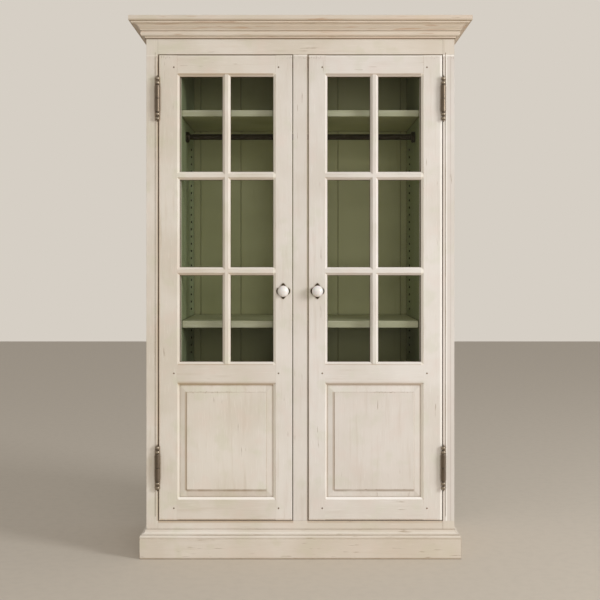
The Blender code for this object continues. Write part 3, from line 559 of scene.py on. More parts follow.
        # Waxing and painted shade in the plinth's quirks, broken along their length.
        quirks = self.lines([(z, *quirk) for quirk in PLINTH_QUIRKS])
        broken = self.ramp(self.noise(self.along, 34.0, 3.0, 0.6, (3, 3, 9)), 0.36, 0.62, 0.25, 1.0)
        self.coat(134, 106, 70, quirks, broken, 0.42)
        self.coat(186, 166, 142, self.ramp(z, 0.0830, 0.0800, 0.0, 0.16))
        outside = self.times(self.crown, self.ramp(self.tilt, 0.95, 0.70, 0.12, 1.0))
        streaks = self.ramp(self.noise(self.along, 16.0, 3.0, 0.6, (9, 3, 3)), 0.52, 0.70)
        self.coat(216, 180, 154, outside, streaks, 0.42)
        fine_streaks = self.ramp(self.noise(self.along, 95.0, 2.0, 0.5, (2, 7, 1)), 0.60, 0.68)
        self.coat(176, 134, 100, outside, fine_streaks, 0.46)

    def scratch(self):
        """Scratches along the board, and specks, thickest at the doors' and fields' upper edges."""
        z, patches = self.z, self.patches
        marks = self.noise(self.along, 150.0, 2.0, 0.45, (1, 9, 4))
        low_down = self.times(self.ramp(marks, 0.64, 0.70), self.ramp(z, 0.120, 0.112),
                              self.ramp(patches, 0.42, 0.56))
        strong = self.times(self.ramp(marks, 0.70, 0.75), self.ramp(patches, 0.50, 0.64))
        self.coat(134, 104, 66, self.most(strong, low_down), 0.60)
        corners = self.less(self.between(self.wide, *RAIL_MIDDLE))
        rubbed = self.lines((
            (z, FIELD_HEAD, 0.0015, 0.0040, self.across_field),
            (z, FIELD_FOOT + 0.002, 0.0012, 0.0040, self.across_field, 0.8),
            (z, DOOR_HIGH - 0.006, 0.0020, 0.0140, corners, 0.7),
        ))
        dashes = self.ramp(self.noise((1.0, 1.0, 0.45), 300.0, 2.0, 0.5, (2, 2, 5)), 0.56, 0.64)
        dashes = self.times(dashes, rubbed, self.ramp(patches, 0.46, 0.58))
        specks = self.times(self.ramp(self.cells(EVEN, 130.0), 0.10, 0.05), self.ramp(patches, 0.58, 0.70))
        self.coat(112, 84, 52, self.most(dashes, specks), 0.7)

    def glaze_shade_light_and_rub(self):
        """Painted light on slopes and arrises to the right, brown glaze and painted shade in other corners,
        edges rubbed to wood.
        """
        x, z = self.x, self.z
        glass_high = self.between(z, LITE_FOOT, LITE_HEAD)
        # Painted light on the stiles' left-facing slopes at the right-hand lites and panels of each door.
        slopes = self.most(*(self.between(x, *reach, 0.001) for reach in GLASS_SLOPES))
        slopes = self.times(slopes, self.most(glass_high, self.between(z, *PANEL_SLOPES)))
        self.coat(252, 245, 232, slopes, 0.62)
        # Painted highlights on arrises facing the key lamp: the right door's outer edge, the right frame
        # stile beside its quirk, and the doors' top edges, stronger to the right.
        arrises = self.lines((
            (x, OUTER_ARRIS, 0.0035, 0.0050),
            (x, FRAME_ARRIS, 0.0020, 0.0032),
            (z, DOOR_HIGH - 0.0015, 0.0022, 0.0036, self.ramp(x, -0.1, 0.1, 0.4, 1.0)),
        ))
        self.coat(255, 250, 242, arrises, self.doorway, 0.60)
        light_gaps = self.lines((
            (z, DOOR_LOW, 0.0050, 0.0080, 0.70),
            (z, DOOR_HIGH, 0.0050, 0.0080, 0.70),
            (x, OUTER_GAP, 0.0035, 0.0050, self.doorway, 0.90),
            (x, -OUTER_GAP, 0.0035, 0.0050, self.doorway, 0.36),
            (z, COVE_FOOT, 0.0030, 0.0050, 0.90),
        ))
        lites = self.times(glass_high, self.between(self.wide, *LITES_WIDE), 0.55)
        lighter = self.most(lites, light_gaps, self.times(self.crown, 0.45), self.lit_foot_slope,
                            self.times(slopes, 0.90))
        uneven = self.ramp(self.strokes, 0.25, 0.60, 0.70, 1.0)
        # Brown glaze and painted shade in corners and gaps, found by ambient occlusion, kept lighter on the
        # lites, some gaps, the crown and the painted lit slopes.
        self.coat(118, 88, 40, self.crevice(0.010, 0.50, 0.95), uneven, self.less(lighter), 0.80)
        self.coat(158, 128, 88, self.worn_edge(0.0016, 0.90, 0.99), self.ramp(self.patches, 0.44, 0.62), 0.70)


def milk_paint(name, along):
    """The cream finish, coat by coat."""
    paint = MilkPaint(name, along)
    paint.brush_ground()
    paint.wax_and_painted_shade()
    paint.paint_slope_light_and_shade()
    paint.tone_and_light_by_place()
    paint.mouldings_wax_light_and_shade()
    paint.scratch()
    paint.glaze_shade_light_and_rub()
    relief = paint.relief(((paint.strokes, 0.22), (paint.fine_strokes, 0.12), (paint.patches, 0.10)), 0.0012)
    return paint.surface(paint.ramp(paint.strokes, 0.2, 0.8, 0.44, 0.60), relief, Specular_IOR_Level=0.35)


def green_paint(name, along, edge=None, tint=None):
    """Sage paint of the inside, thin over the grain, with painted shade to the left, low down and in corners,
    and painted light right of the middle. A shelf's front edge is rubbed paler.
    """
    paint = Recipe(name)
    x, y, z = paint.axis("X"), paint.axis("Y"), paint.axis("Z")
    clouds = paint.noise(EVEN, 4.0, 3.0, 0.5, (2, 2, 2))
    strokes = paint.noise(along, 55.0, 6.0, 0.65, (5, 0, 3))
    knots = paint.cells((1.0, 1.0, 0.35), 3.4, shift=(0.4, 0.2, 0.7))
    paint.colour = shade(182, 182, 139)
    paint.coat(165, 166, 122, paint.ramp(clouds, 0.35, 0.68))
    paint.coat(146, 144, 98, paint.ramp(strokes, 0.52, 0.80, 0.0, 0.50))
    paint.coat(130, 116, 78, paint.ramp(knots, 0.10, 0.03, 0.0, 0.45))
    inside = paint.ramp(y, BACK_FACE + 0.005, BACK_FACE + 0.003)
    # Painted shade towards the left inside and painted light right of the middle, against the key lamp's
    # uneven light; a lighter band at about 1.4 m on the left.
    paint.coat(140, 142, 102, paint.ramp(x, -0.16, -0.49, 0.0, 0.62), inside)
    paint.coat(206, 207, 164, paint.band(x, 0.16, 0.10, 0.30), inside, 0.45)
    paint.coat(206, 207, 168, paint.band(z, 1.40, 0.10, 0.30), paint.ramp(x, -0.42, -0.24), inside, 0.22)
    # The back's outer face: calmer and thinner paint, board by board
    outer = paint.ramp(y, BACK_FACE + 0.003, BACK_FACE + 0.005)
    paint.coat(168, 169, 129, outer, 0.60)
    boards = 0.35
    for place, change in zip(BACK_GROOVES, BOARD_CHANGES):
        boards = paint.sum("ADD", boards, paint.ramp(x, place - 0.001, place + 0.001, 0.0, change))
    paint.coat(128, 130, 92, outer, boards, 0.50)
    thin = paint.ramp(paint.noise(along, 38.0, 5.0, 0.65, (8, 1, 5)), 0.50, 0.72)
    paint.coat(176, 154, 116, outer, thin, 0.34)
    # Painted shade: the inside is darker below about 0.92 m.
    paint.coat(120, 120, 84, paint.ramp(z, 0.94, 0.90), inside, 0.35)
    if tint:
        paint.coat(*tint, 0.60)
    grooves = paint.lines([(x, place, 0.0012, 0.0045) for place in BACK_GROOVES])
    behind = paint.ramp(y, BACK_FACE - 0.002, BACK_FACE)
    paint.coat(70, 62, 36, grooves, behind, paint.sum("MULTIPLY_ADD", outer, 0.46, 0.14))
    if edge is not None:
        pale = paint.layer(shade(176, 177, 150), shade(194, 194, 172), paint.ramp(strokes, 0.40, 0.70))
        front = paint.times(paint.ramp(y, edge + 0.004, edge + 0.001), 0.80)
        paint.colour = paint.layer(paint.colour, pale, front)
        level = paint.ramp(paint.facing_up(), 0.5, 0.9)
        paint.coat(214, 216, 180, level, paint.ramp(strokes, 0.25, 0.60, 1.0, 0.6), 0.75)
    # Painted shade in corners, found by ambient occlusion.
    paint.coat(70, 62, 36, paint.crevice(0.012, 0.35, 0.85), 0.6)
    relief = paint.relief(((strokes, 0.30), (clouds, 0.10)), 0.0012)
    return paint.surface(paint.ramp(strokes, 0.2, 0.8, 0.50, 0.68), relief, Specular_IOR_Level=0.30)


def white_china(name):
    """Glazed porcelain with faint crazing."""
    china = Recipe(name)
    clouds = china.noise(EVEN, 40.0, 3.0)
    china.colour = shade(243, 238, 234)
    china.coat(233, 227, 222, china.ramp(clouds, 0.35, 0.70))
    china.coat(196, 184, 168, china.ramp(china.cells(EVEN, 160.0, "DISTANCE_TO_EDGE"), 0.020, 0.006), 0.22)
    relief = china.relief(((clouds, 0.06),), 0.0008)
    return china.surface(china.ramp(clouds, 0.3, 0.7, 0.22, 0.30), relief, Coat_Weight=0.6,
                         Coat_Roughness=0.12, Subsurface_Weight=0.06)


def aged_metal(name, dark, light, base_roughness, wear=0.8, bright=0.40, lacquer=0.0, rubbed=()):
    """Cast or drawn metal with a dark patina, rubbed bright where hands and parts touch it."""
    metal = Recipe(name)
    mottle = metal.noise(EVEN, 180.0, 5.0, 0.6)
    patina = metal.noise(EVEN, 46.0, 4.0, 0.6, (4, 4, 4))
    metal.colour = shade(*dark)
    metal.coat(*light, metal.ramp(mottle, 0.48, 0.80, 0.0, bright))
    metal.coat(*light, metal.worn_edge(0.0010, 0.86, 0.99), wear)
    metal.coat(44, 32, 20, metal.ramp(patina, 0.50, 0.72, 0.0, 0.35))
    if rubbed:
        height = metal.axis("Z")
        metal.coat(*light, metal.lines([(height, place, 0.0030, 0.0060) for place in rubbed]), 0.42)
    metal.coat(34, 24, 14, metal.crevice(0.006, 0.30, 0.80), 0.92)
    roughness = metal.ramp(mottle, 0.3, 0.8, base_roughness - 0.04, base_roughness + 0.06)
    relief = metal.relief(((mottle, 0.04), (patina, 0.03)), 0.0006)
    return metal.surface(roughness, relief, Metallic=1.0, Coat_Weight=lacquer, Coat_Roughness=0.46,
                         Coat_IOR=1.7)


def aged_wood(name, along, light, dark):
    """Bare brown wood, darkened by age."""
    wood = Recipe(name)
    grain = wood.noise(along, 120.0, 5.0, 0.6)
    wood.colour = shade(*light)
    wood.coat(*dark, wood.ramp(grain, 0.35, 0.70))
    relief = wood.relief(((grain, 0.3),), 0.0006)
    return wood.surface(wood.ramp(grain, 0.3, 0.7, 0.55, 0.75), relief, Specular_IOR_Level=0.3)


def window_glass(name):
    """Old clear glass, faintly grey green, with a slow ripple and a little dust."""
    pane = Recipe(name)
    dust = pane.noise(EVEN, 90.0, 5.0, 0.7)
    pane.colour = shade(52, 50, 34)
    pane.coat(84, 82, 64, pane.ramp(dust, 0.45, 0.75))
    relief = pane.relief(((pane.noise((1.0, 1.0, 0.5), 7.0, 2.0, 0.4), 0.10),), 0.004)
    return pane.surface(pane.ramp(dust, 0.4, 0.8, 0.03, 0.10), relief, Specular_IOR_Level=0.5, Alpha=0.08)


CREAM_UPRIGHT = milk_paint("cream_paint_upright", UPRIGHT)
CREAM_LEVEL = milk_paint("cream_paint_level", LEVEL)
SAGE_UPRIGHT = green_paint("sage_paint_upright", UPRIGHT)
SAGE_LEVEL = green_paint("sage_paint_level", LEVEL)
SAGE_LINER = green_paint("sage_paint_liner", UPRIGHT, tint=(142, 158, 122))
SAGE_SHELF = green_paint("sage_paint_shelf", LEVEL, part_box("upper_shelf")[0].y)
PORCELAIN = white_china("porcelain_glaze")
DARK_BRONZE = aged_metal("dark_bronze_patina", (78, 68, 56), (178, 166, 148), 0.36, 0.6, 0.25)
PEWTER = aged_metal("aged_pewter_plate", (98, 80, 57), (196, 182, 160), 0.44, 0.35, 0.06, 1.0, HINGE_BALLS)
IRON = aged_metal("black_iron_rod", (54, 47, 38), (120, 110, 94), 0.36, 0.6, 0.25)
NICKEL = aged_metal("nickel_pins", (150, 142, 126), (206, 198, 182), 0.28, 0.6)
GLASS = window_glass("window_glass")
# Dark brown, partly painted shade along the lites' edges.
PUTTY = aged_wood("glazing_bead_brown", UPRIGHT, (104, 78, 44), (72, 52, 28))
# Near black, as painted shade inside the shelf pin holes.
SLEEVE_DARK = aged_wood("dark_sleeves", EVEN, (40, 32, 20), (24, 18, 10))
PEG_WOOD = aged_wood("peg_end_grain", EVEN, (112, 84, 52), (74, 52, 32))


# Cornice and plinth

CORNICE_OUT = 0.064
CORNICE_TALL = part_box("cornice_front")[1].z - CORNICE_FOOT
PLINTH_OUT = 0.024
JOINT = 0.0002


def cornice_outline():
    """Outline of the crown: fillet, bead, quirk, cove and square fascia, as distance out and height."""
    shares = [(0.003, 0.0), (0.012, 0.0), (0.012, 0.042), (0.075, 0.048), (0.084, 0.056), (0.084, 0.104)]
    shares += [(0.098, 0.110), (0.104, 0.118), (0.170, 0.130)]
    shares += arc((0.225, 0.251), 0.105, 0.119, -84, 78, 12)
    shares += [(0.262, 0.372), (0.268, 0.382), (0.330, 0.388)]
    shares += arc((0.790, 0.392), 0.435, 0.272, 176, 92, 12)
    shares += [(0.846, 0.666), (0.850, 0.674), (0.864, 0.680), (0.866, 0.734), (0.856, 0.740)]
    shares += [(0.856, 0.752), (0.944, 0.760)]
    shares += arc((0.972, 0.784), 0.028, 0.022, -80, 0, 3)
    shares += arc((0.980, 0.980), 0.020, 0.020, 0, 90, 4)
    shares += [(0.003, 1.0)]
    return [(out * CORNICE_OUT, CORNICE_FOOT + up * CORNICE_TALL) for out, up in shares]


def plinth_outline():
    """Outline of the base: a board with a quirk, a bead, another quirk and a hollow slope on top."""
    board = [(JOINT, 0.0), (PLINTH_OUT - 0.0015, 0.0), (PLINTH_OUT, 0.0015), (PLINTH_OUT, 0.0802),
             (0.0236, 0.0808), (0.0228, 0.0814), (0.0228, 0.0826), (0.0234, 0.0834), (0.0238, 0.0844)]
    bead = arc((0.0184, 0.0892), 0.0056, 0.0056, -15, 76, 7)
    slope = [(0.0188, 0.0946), (0.0176, 0.0951), (0.0174, 0.0961), (0.0178, 0.0972)]
    hollow = arc((0.0178, 0.1120), 0.0140, 0.0142, -92, -170, 8)
    top = [(0.0030, 0.1116), (0.0030, 0.1140), (0.0022, PLINTH_TOP), (JOINT, PLINTH_TOP)]
    return board + bead + slope + hollow + top


def mitred_moulding(name, outline, side, slot):
    """One length of moulding: side 0 runs across the front, -1 and 1 back along the sides."""
    reach = max(out for out, up in outline)
    corner = Vector((BODY_HALF, FACE, 0))
    if side == 0:
        length = 2 * (BODY_HALF + reach) + JOINT
        piece = start_point((-length / 2, FACE - outline[0][0], outline[0][1]))
        draw_line([(-length / 2, FACE - out, up) for out, up in outline])
        close_outline_and_run(piece, (length, 0, 0))
        cut_end(corner, (1, 1, 0))
        cut_end(Vector((-corner.x, corner.y, 0)), (-1, 1, 0))
    else:
        length = BACK - FACE + reach
        piece = start_point((side * (BODY_HALF + outline[0][0]), FACE - reach, outline[0][1]))
        draw_line([(side * (BODY_HALF + out), FACE - reach, up) for out, up in outline])
        close_outline_and_run(piece, (0, length, 0))
        cut_end(Vector((side * corner.x, corner.y + JOINT, 0)), (-side, -1, 0))
    replaced = f"{slot}_{('left', 'front', 'right')[side + 1]}"
    finish_piece(piece, name, "carcass", CREAM_LEVEL, [replaced])


for turn, end in ((0, "front"), (-1, "left"), (1, "right")):
    mitred_moulding(f"crown_moulding_{end}", cornice_outline(), turn, "cornice")
    mitred_moulding(f"base_moulding_{end}", plinth_outline(), turn, "plinth")


# Front frame and boards


def eased_board(name, node, slot, finish, width=BOARD_EASE):
    """A plain board the size of its solid, with softened arrises."""
    low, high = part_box(node)
    piece = start_block(low, high)
    ease_edges(piece, width)
    finish_piece(piece, name, "carcass", finish, [node])


QUIRK_INSET = 0.0110
QUIRK_WIDTH = 0.0022
QUIRK_DEPTH = 0.0016
QUIRK_LOW = 0.1665
QUIRK_HIGH = 2.0410
LIP_INNER = 0.485
LIP_FRONT = 0.0223
SIDE_BOARD = 0.022
SHELF_EASE = 0.0022


def frame_stile(side, label):
    """A front stile with its stopped bead beside the door, and the lip behind the door."""
    low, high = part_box(f"frame_stile_{label}")
    frame_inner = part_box("frame_top_rail")[1].x + JOINT
    piece = start_block(*across(side, frame_inner, BODY_HALF, FACE, FRAME_BACK, low.z, high.z))
    more_block(*across(side, LIP_INNER, BODY_HALF - SIDE_BOARD - JOINT, FACE + LIP_FRONT, high.y,
                       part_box("bottom_board")[1].z + JOINT, high.z))
    ease_edges(piece, BOARD_EASE)
    bpy.context.view_layer.objects.active = piece
    bpy.ops.object.mode_set(mode="EDIT")
    groove = frame_inner + QUIRK_INSET
    for edge in (groove - QUIRK_WIDTH / 2, groove + QUIRK_WIDTH / 2):
        pick_all()
        bpy.ops.mesh.bisect(plane_co=(side * edge, 0, 0), plane_no=(1, 0, 0))
    for height in (QUIRK_LOW, QUIRK_HIGH):
        pick_all()
        bpy.ops.mesh.bisect(plane_co=(0, 0, height), plane_no=(0, 0, 1))

    def in_groove(face):
        middle = face.calc_center_median()
        on_face = abs(middle.y - FACE) < JOINT and face.normal.y < -FACING
        in_width = abs(abs(middle.x) - groove) < QUIRK_WIDTH / 2
        return on_face and in_width and QUIRK_LOW < middle.z < QUIRK_HIGH

    pick_faces(piece, in_groove)
    bpy.ops.mesh.extrude_region_move(TRANSFORM_OT_translate={"value": (0, QUIRK_DEPTH, 0)})
    finish_piece(piece, f"front_stile_{label}", "carcass", CREAM_UPRIGHT,
                 [f"frame_stile_{label}"])


for turn, end in SIDES:
    frame_stile(turn, end)
    eased_board(f"side_board_{end}", f"outer_side_{end}", "cream_paint", CREAM_UPRIGHT)

BOARDS = (
    ("head_rail", "frame_top_rail", "cream_paint", CREAM_LEVEL, FINE_EASE),
    ("sill_rail", "frame_bottom_rail", "cream_paint", CREAM_LEVEL, FINE_EASE),
    ("centre_post", "frame_mullion", "cream_paint", CREAM_UPRIGHT, FINE_EASE),
    ("top_boarding", "top_board", "cream_paint", CREAM_LEVEL),
    ("floor_boarding", "bottom_board", "sage_paint", SAGE_LEVEL),
    ("fixed_shelf", "upper_shelf", "sage_paint", SAGE_SHELF, SHELF_EASE),
    ("loose_shelf", "lower_shelf", "sage_paint", SAGE_SHELF, SHELF_EASE),
    ("double_catch", "door_catch", "cream_paint", CREAM_LEVEL),
)
for board in BOARDS:
    eased_board(*board)

CARRIED = (("back_panel", SAGE_UPRIGHT), ("liner_left", SAGE_LINER), ("liner_right", SAGE_LINER),
           ("hanging_rod", IRON), ("shelf_pin_left_front", NICKEL), ("shelf_pin_left_rear", NICKEL),
           ("shelf_pin_right_front", NICKEL), ("shelf_pin_right_rear", NICKEL),
           ("left_door_glass", GLASS), ("right_door_glass", GLASS))
for node, finish in CARRIED:
    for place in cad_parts[node].material_slots:
        place.material = finish


# Rod flanges

FLANGE_OUTLINE = ((0.0, 0.0), (0.0226, 0.0), (0.0228, 0.0018), (0.0222, 0.0030), (0.0226, 0.0042),
                  (0.0236, 0.0060), (0.0240, 0.0085), (0.0236, 0.0112), (0.0222, 0.0134), (0.0200, 0.0148),
                  (0.0184, 0.0150), (0.0178, 0.0142), (0.0168, 0.0142), (0.0160, 0.0156), (0.0146, 0.0160),
                  (0.0131, 0.0160), (0.0127, 0.0154), (0.0127, 0.0032), (0.0, 0.0032))


def rod_flange(side, label):
    """The turned iron cup that holds one end of the hanging rod."""
    low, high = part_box(f"rod_flange_{label}")
    wall = side * max(abs(low.x), abs(high.x))
    middle = (low + high) / 2
    piece = turn_outline(FLANGE_OUTLINE, (wall, middle.y, middle.z), (-side, 0, 0), steps=64)
    finish_piece(piece, f"rod_cup_{label}", "carcass", IRON, [f"rod_flange_{label}"])


for turn, end in SIDES:
    rod_flange(turn, end)


# Sleeves in the shelf pin holes

SLEEVE_OUTLINE = ((0.0, -0.0080), (0.0024, -0.0080), (0.0024, 0.0002), (0.0044, 0.0002), (0.0050, 0.0010),
                  (0.0048, 0.0036), (0.0040, 0.0042), (0.0028, 0.0042), (0.0022, 0.0034), (0.0021, -0.0076),
                  (0.0, -0.0076))
HOLE_PITCH = 0.032
HOLE_COUNT = 29
PINNED_HOLE = 4
SLEEVE_CLEAR = 0.008
HOLE_DEPTH = 0.170


def pin_sleeves(side, label):
    """The rear column of small dark sleeves, one for each free hole of a liner; their near black is painted
    shade inside the holes.
    """
    pin_low, pin_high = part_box(f"shelf_pin_{label}_rear")
    pinned = (pin_low.z + pin_high.z) / 2
    place = (side * INSIDE_HALF, HOLE_DEPTH, pinned - PINNED_HOLE * HOLE_PITCH)
    piece = turn_outline(SLEEVE_OUTLINE, place, (-side, 0, 0), steps=14)
    use_modifier(piece, "ARRAY", count=HOLE_COUNT, use_relative_offset=False, use_constant_offset=True,
                 constant_offset_displace=(0, 0, HOLE_PITCH))
    bpy.ops.object.mode_set(mode="EDIT")
    low, high = pinned - HOLE_PITCH / 2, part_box("lower_shelf")[1].z + SLEEVE_CLEAR
    pick_faces(piece, lambda face: low < face.calc_center_median().z < high)
    bpy.ops.mesh.delete(type="FACE")
    finish_piece(piece, f"pin_sleeves_{label}_rear", "carcass", SLEEVE_DARK)


for turn, end in SIDES:
    pin_sleeves(turn, end)


# Doors


def mould(edge, direction):
    """The slope along a member's edge, from its flat to its side, as place across and depth."""
    points = [(0.0, 0.0), (0.0001, 0.0007), (0.0008, 0.0009)]
    points += [(MOULD_WIDTH - 0.0004, MOULD_DEPTH - 0.0006), (MOULD_WIDTH, MOULD_DEPTH)]
    return [(edge + direction * (along - MOULD_WIDTH), depth) for along, depth in points]


def member_outline(outer, inner, moulded_outer, moulded_inner, setback):
    """Outline of a stile, rail or bar as place across and depth, from its outer to its inner edge."""
    back = DOOR_THICKNESS - setback - (0.0 if setback == 0 else BACK_SETBACK)
    low, high = sorted((outer, inner))
    outline = []
    ends = ((low, -1, moulded_outer if low == outer else moulded_inner),
            (high, 1, moulded_inner if high == inner else moulded_outer))
    for place, direction, moulded in ends:
        if moulded:
            slope = [(across_at, depth + setback) for across_at, depth in mould(place, direction)]
        else:
            centre = (place - direction * ARRIS, setback + ARRIS)
            slope = arc(centre, direction * ARRIS, ARRIS, -90, 0, ARRIS_STEPS)
        if direction < 0:
            outline += [(place, back)] + slope[::-1]
        else:
            outline += slope + [(place, back)]
    return outline


def door_member(name, body, outline, along, start, end, node, side):
    """A stile, rail or bar, run from its outline. Uprights mirror their outline on the left door."""
    if along == "z":
        points = [(side * place, FACE + depth, start) for place, depth in outline]
        step = (0, 0, end - start)
    else:
        points = [(side * start, FACE + depth, place) for place, depth in outline]
        step = (side * (end - start), 0, 0)
    piece = start_point(points[0])
    draw_line(points)
    close_outline_and_run(piece, step)
    if along == "z" and start == DOOR_LOW:
        def on_end(edge):
            ends = [vertex.co for vertex in edge.verts]
            at_end = all(min(abs(end.z - DOOR_LOW), abs(end.z - DOOR_HIGH)) < JOINT for end in ends)
            return at_end and all(abs(end.y - FACE) < JOINT / 4 for end in ends)

        pick_edges(piece, on_end)
        bpy.ops.mesh.bevel(offset=ARRIS, segments=ARRIS_STEPS, clamp_overlap=True)
    finish = CREAM_UPRIGHT if along == "z" else CREAM_LEVEL
    finish_piece(piece, name, body, finish, [node])


def build_door_frame(side, label):
    """Stiles, rails and glazing bars, whose slopes run into each other as mitres."""
    body = f"{label}_door"
    tall = (DOOR_LOW, DOOR_HIGH)
    wide = (SIGHT_FREE - MOULD_WIDTH, SIGHT_OUTER + MOULD_WIDTH)
    glazed = (LITE_LOW - MOULD_WIDTH, LITE_HIGH + MOULD_WIDTH)
    members = [
        ("outer_stile", "hinge_stile", "z", tall, (DOOR_OUTER, SIGHT_OUTER, False, True, 0.0)),
        ("inner_stile", "meeting_stile", "z", tall, (DOOR_FREE, SIGHT_FREE, False, True, 0.0)),
        ("head_rail", "top_rail", "x", wide, (LITE_HIGH, DOOR_HIGH, True, False, RAIL_SETBACK)),
        ("middle_rail", "lock_rail", "x", wide, (LOCK_RAIL_LOW, LITE_LOW, True, True, RAIL_SETBACK)),
        ("foot_rail", "bottom_rail", "x", wide, (DOOR_LOW, PANEL_LOW, False, True, RAIL_SETBACK)),
    ]
    bars = (
        ("upright_bar", "vertical_bar", "z", glazed, BAR_MIDDLE, UPRIGHT_BAR_SETBACK),
        ("lower_cross_bar", "lower_bar", "x", wide, LOWER_BAR, BAR_SETBACK),
        ("upper_cross_bar", "upper_bar", "x", wide, UPPER_BAR, BAR_SETBACK),
    )
    for *words, middle, setback in bars:
        members.append((*words, (middle - BAR_HALF, middle + BAR_HALF, True, True, setback)))
    for words, node, along, ends, edges in members:
        door_member(f"{body}_{words}", body, member_outline(*edges), along, *ends, f"{body}_{node}", side)


PUTTY_WIDTH = 0.0014
PUTTY_FRONT = 0.0156
PUTTY_BACK = 0.0205


def build_putty(side, label):
    """The dark bead behind the glass, round each of the six lites. Its dark brown is partly painted shade
    along the lites' edges.
    """
    body = f"{label}_door"
    columns = ((SIGHT_FREE, BAR_MIDDLE - BAR_HALF), (BAR_MIDDLE + BAR_HALF, SIGHT_OUTER))
    rows = ((LITE_LOW, LOWER_BAR - BAR_HALF), (LOWER_BAR + BAR_HALF, UPPER_BAR - BAR_HALF),
            (UPPER_BAR + BAR_HALF, LITE_HIGH))
    lites = [across(side, *column, FACE + PUTTY_FRONT, FACE + PUTTY_BACK, *row)
             for column in columns for row in rows]
    piece = start_block(*lites[0])
    for lite in lites[1:]:
        more_block(*lite)
    pick_faces(piece, lambda face: abs(face.normal.y) > FACING)
    bpy.ops.mesh.delete(type="FACE")
    use_modifier(piece, "SOLIDIFY", thickness=PUTTY_WIDTH, offset=-1, use_even_offset=True)
    ease_edges(piece, FINE_EASE, 1)
    finish_piece(piece, f"{body}_glazing_bead", body, PUTTY)


PANEL_PLAY = 0.0008
TONGUE_REACH = 0.009 - PANEL_PLAY
TONGUE_FRONT = 0.0093
TONGUE_BACK = 0.0147
BEVEL_TOP = 0.0036
FIELD_RISE = 0.0021
# Each step up from the bevel to the field, as its width and its share of the rise
FIELD_STEPS = ((0.0003, 0.8), (0.0012, 0.2))


def build_panel(side, label):
    """The raised panel: a tongue in the groove, a long bevel, a small step and the flat field."""
    body = f"{label}_door"
    low, high = PANEL_LOW - TONGUE_REACH, LOCK_RAIL_LOW + TONGUE_REACH
    piece = start_block(*across(side, SIGHT_FREE - TONGUE_REACH, SIGHT_OUTER + TONGUE_REACH,
                                FACE + TONGUE_FRONT, FACE + TONGUE_BACK, low, high))
    pick_faces(piece, lambda face: face.normal.y < -FACING)
    bpy.ops.mesh.inset(thickness=TONGUE_REACH, depth=0)
    bpy.ops.mesh.inset(thickness=FIELD_MARGIN, depth=TONGUE_FRONT - BEVEL_TOP)
    for width, share in FIELD_STEPS:
        bpy.ops.mesh.inset(thickness=width, depth=FIELD_RISE * share)
    pick_faces(piece, lambda face: face.normal.y > FACING)
    bpy.ops.mesh.inset(thickness=TONGUE_REACH + FIELD_MARGIN, depth=0)
    finish_piece(piece, f"{body}_raised_panel", body, CREAM_UPRIGHT,
                 [f"{body}_panel"], PANEL_SMOOTH)


PEG_RADIUS = 0.0030
PEG_PROUD = 0.0004
PEG_EASE = 0.0003
PEG_PLACES = ((0.0883, 1.9825), (0.5115, 1.9825), (0.0883, 0.7450), (0.5115, 0.7450),
              (0.0883, 0.1997), (0.5115, 0.1997))


def build_pegs(side, label):
    """The pegs that pin the door's tenons, worn brown."""
    body = f"{label}_door"
    object_mode()
    pegs = []
    for place, height in PEG_PLACES:
        bpy.ops.mesh.primitive_cylinder_add(vertices=20, radius=PEG_RADIUS, depth=2 * PEG_PROUD + JOINT,
                                            location=(side * place, FACE - JOINT / 2, height),
                                            rotation=(math.pi / 2, 0, 0))
        pegs.append(bpy.context.object)
    for peg in pegs:
        peg.select_set(True)
    bpy.ops.object.join()
    piece = bpy.context.object
    bpy.ops.object.transform_apply(location=True, rotation=True, scale=True)
    ease_edges(piece, PEG_EASE, 1)
    finish_piece(piece, f"{body}_pegs", body, PEG_WOOD)


KNOB_PLACE = 0.0693
KNOB_HEIGHT = 1.0775
PLATE_THICKNESS = 0.003
KNOB_SEAT = PLATE_THICKNESS + 2 * JOINT
PLATE_WAIST = 0.0200
TIP_SPREAD = 34
PLATE_HALF_WIDE = 0.028
PLATE_HALF_TALL = 0.0325
TIP_CURVE = 1.15
SIDE_CURVE = 0.9
PLATE_RIM = 0.0010
PLATE_SINK = 0.0004
PLATE_STEP = 0.0008
PLATE_RISE = 0.0003
PLATE_EASE = 0.0004
KNOB_STEPS = 72


def knob_outline():
    """Outline of the knob: a full round head, a waist and a small foot."""
    outline = [(0.0, 0.0378)]
    outline += arc((0.0, 0.0203), 0.0226, 0.0175, 84, -2, 18)
    outline += arc((0.0145, 0.0190), 0.0076, 0.0062, -14, -78, 6)
    outline += arc((0.0150, 0.0050), 0.0062, 0.0076, 96, 190, 8)
    outline += [(0.0092, 0.0030), (0.0102, 0.0022), (0.0104, 0.0010), (0.0102, 0.0), (0.0, 0.0)]
    return outline


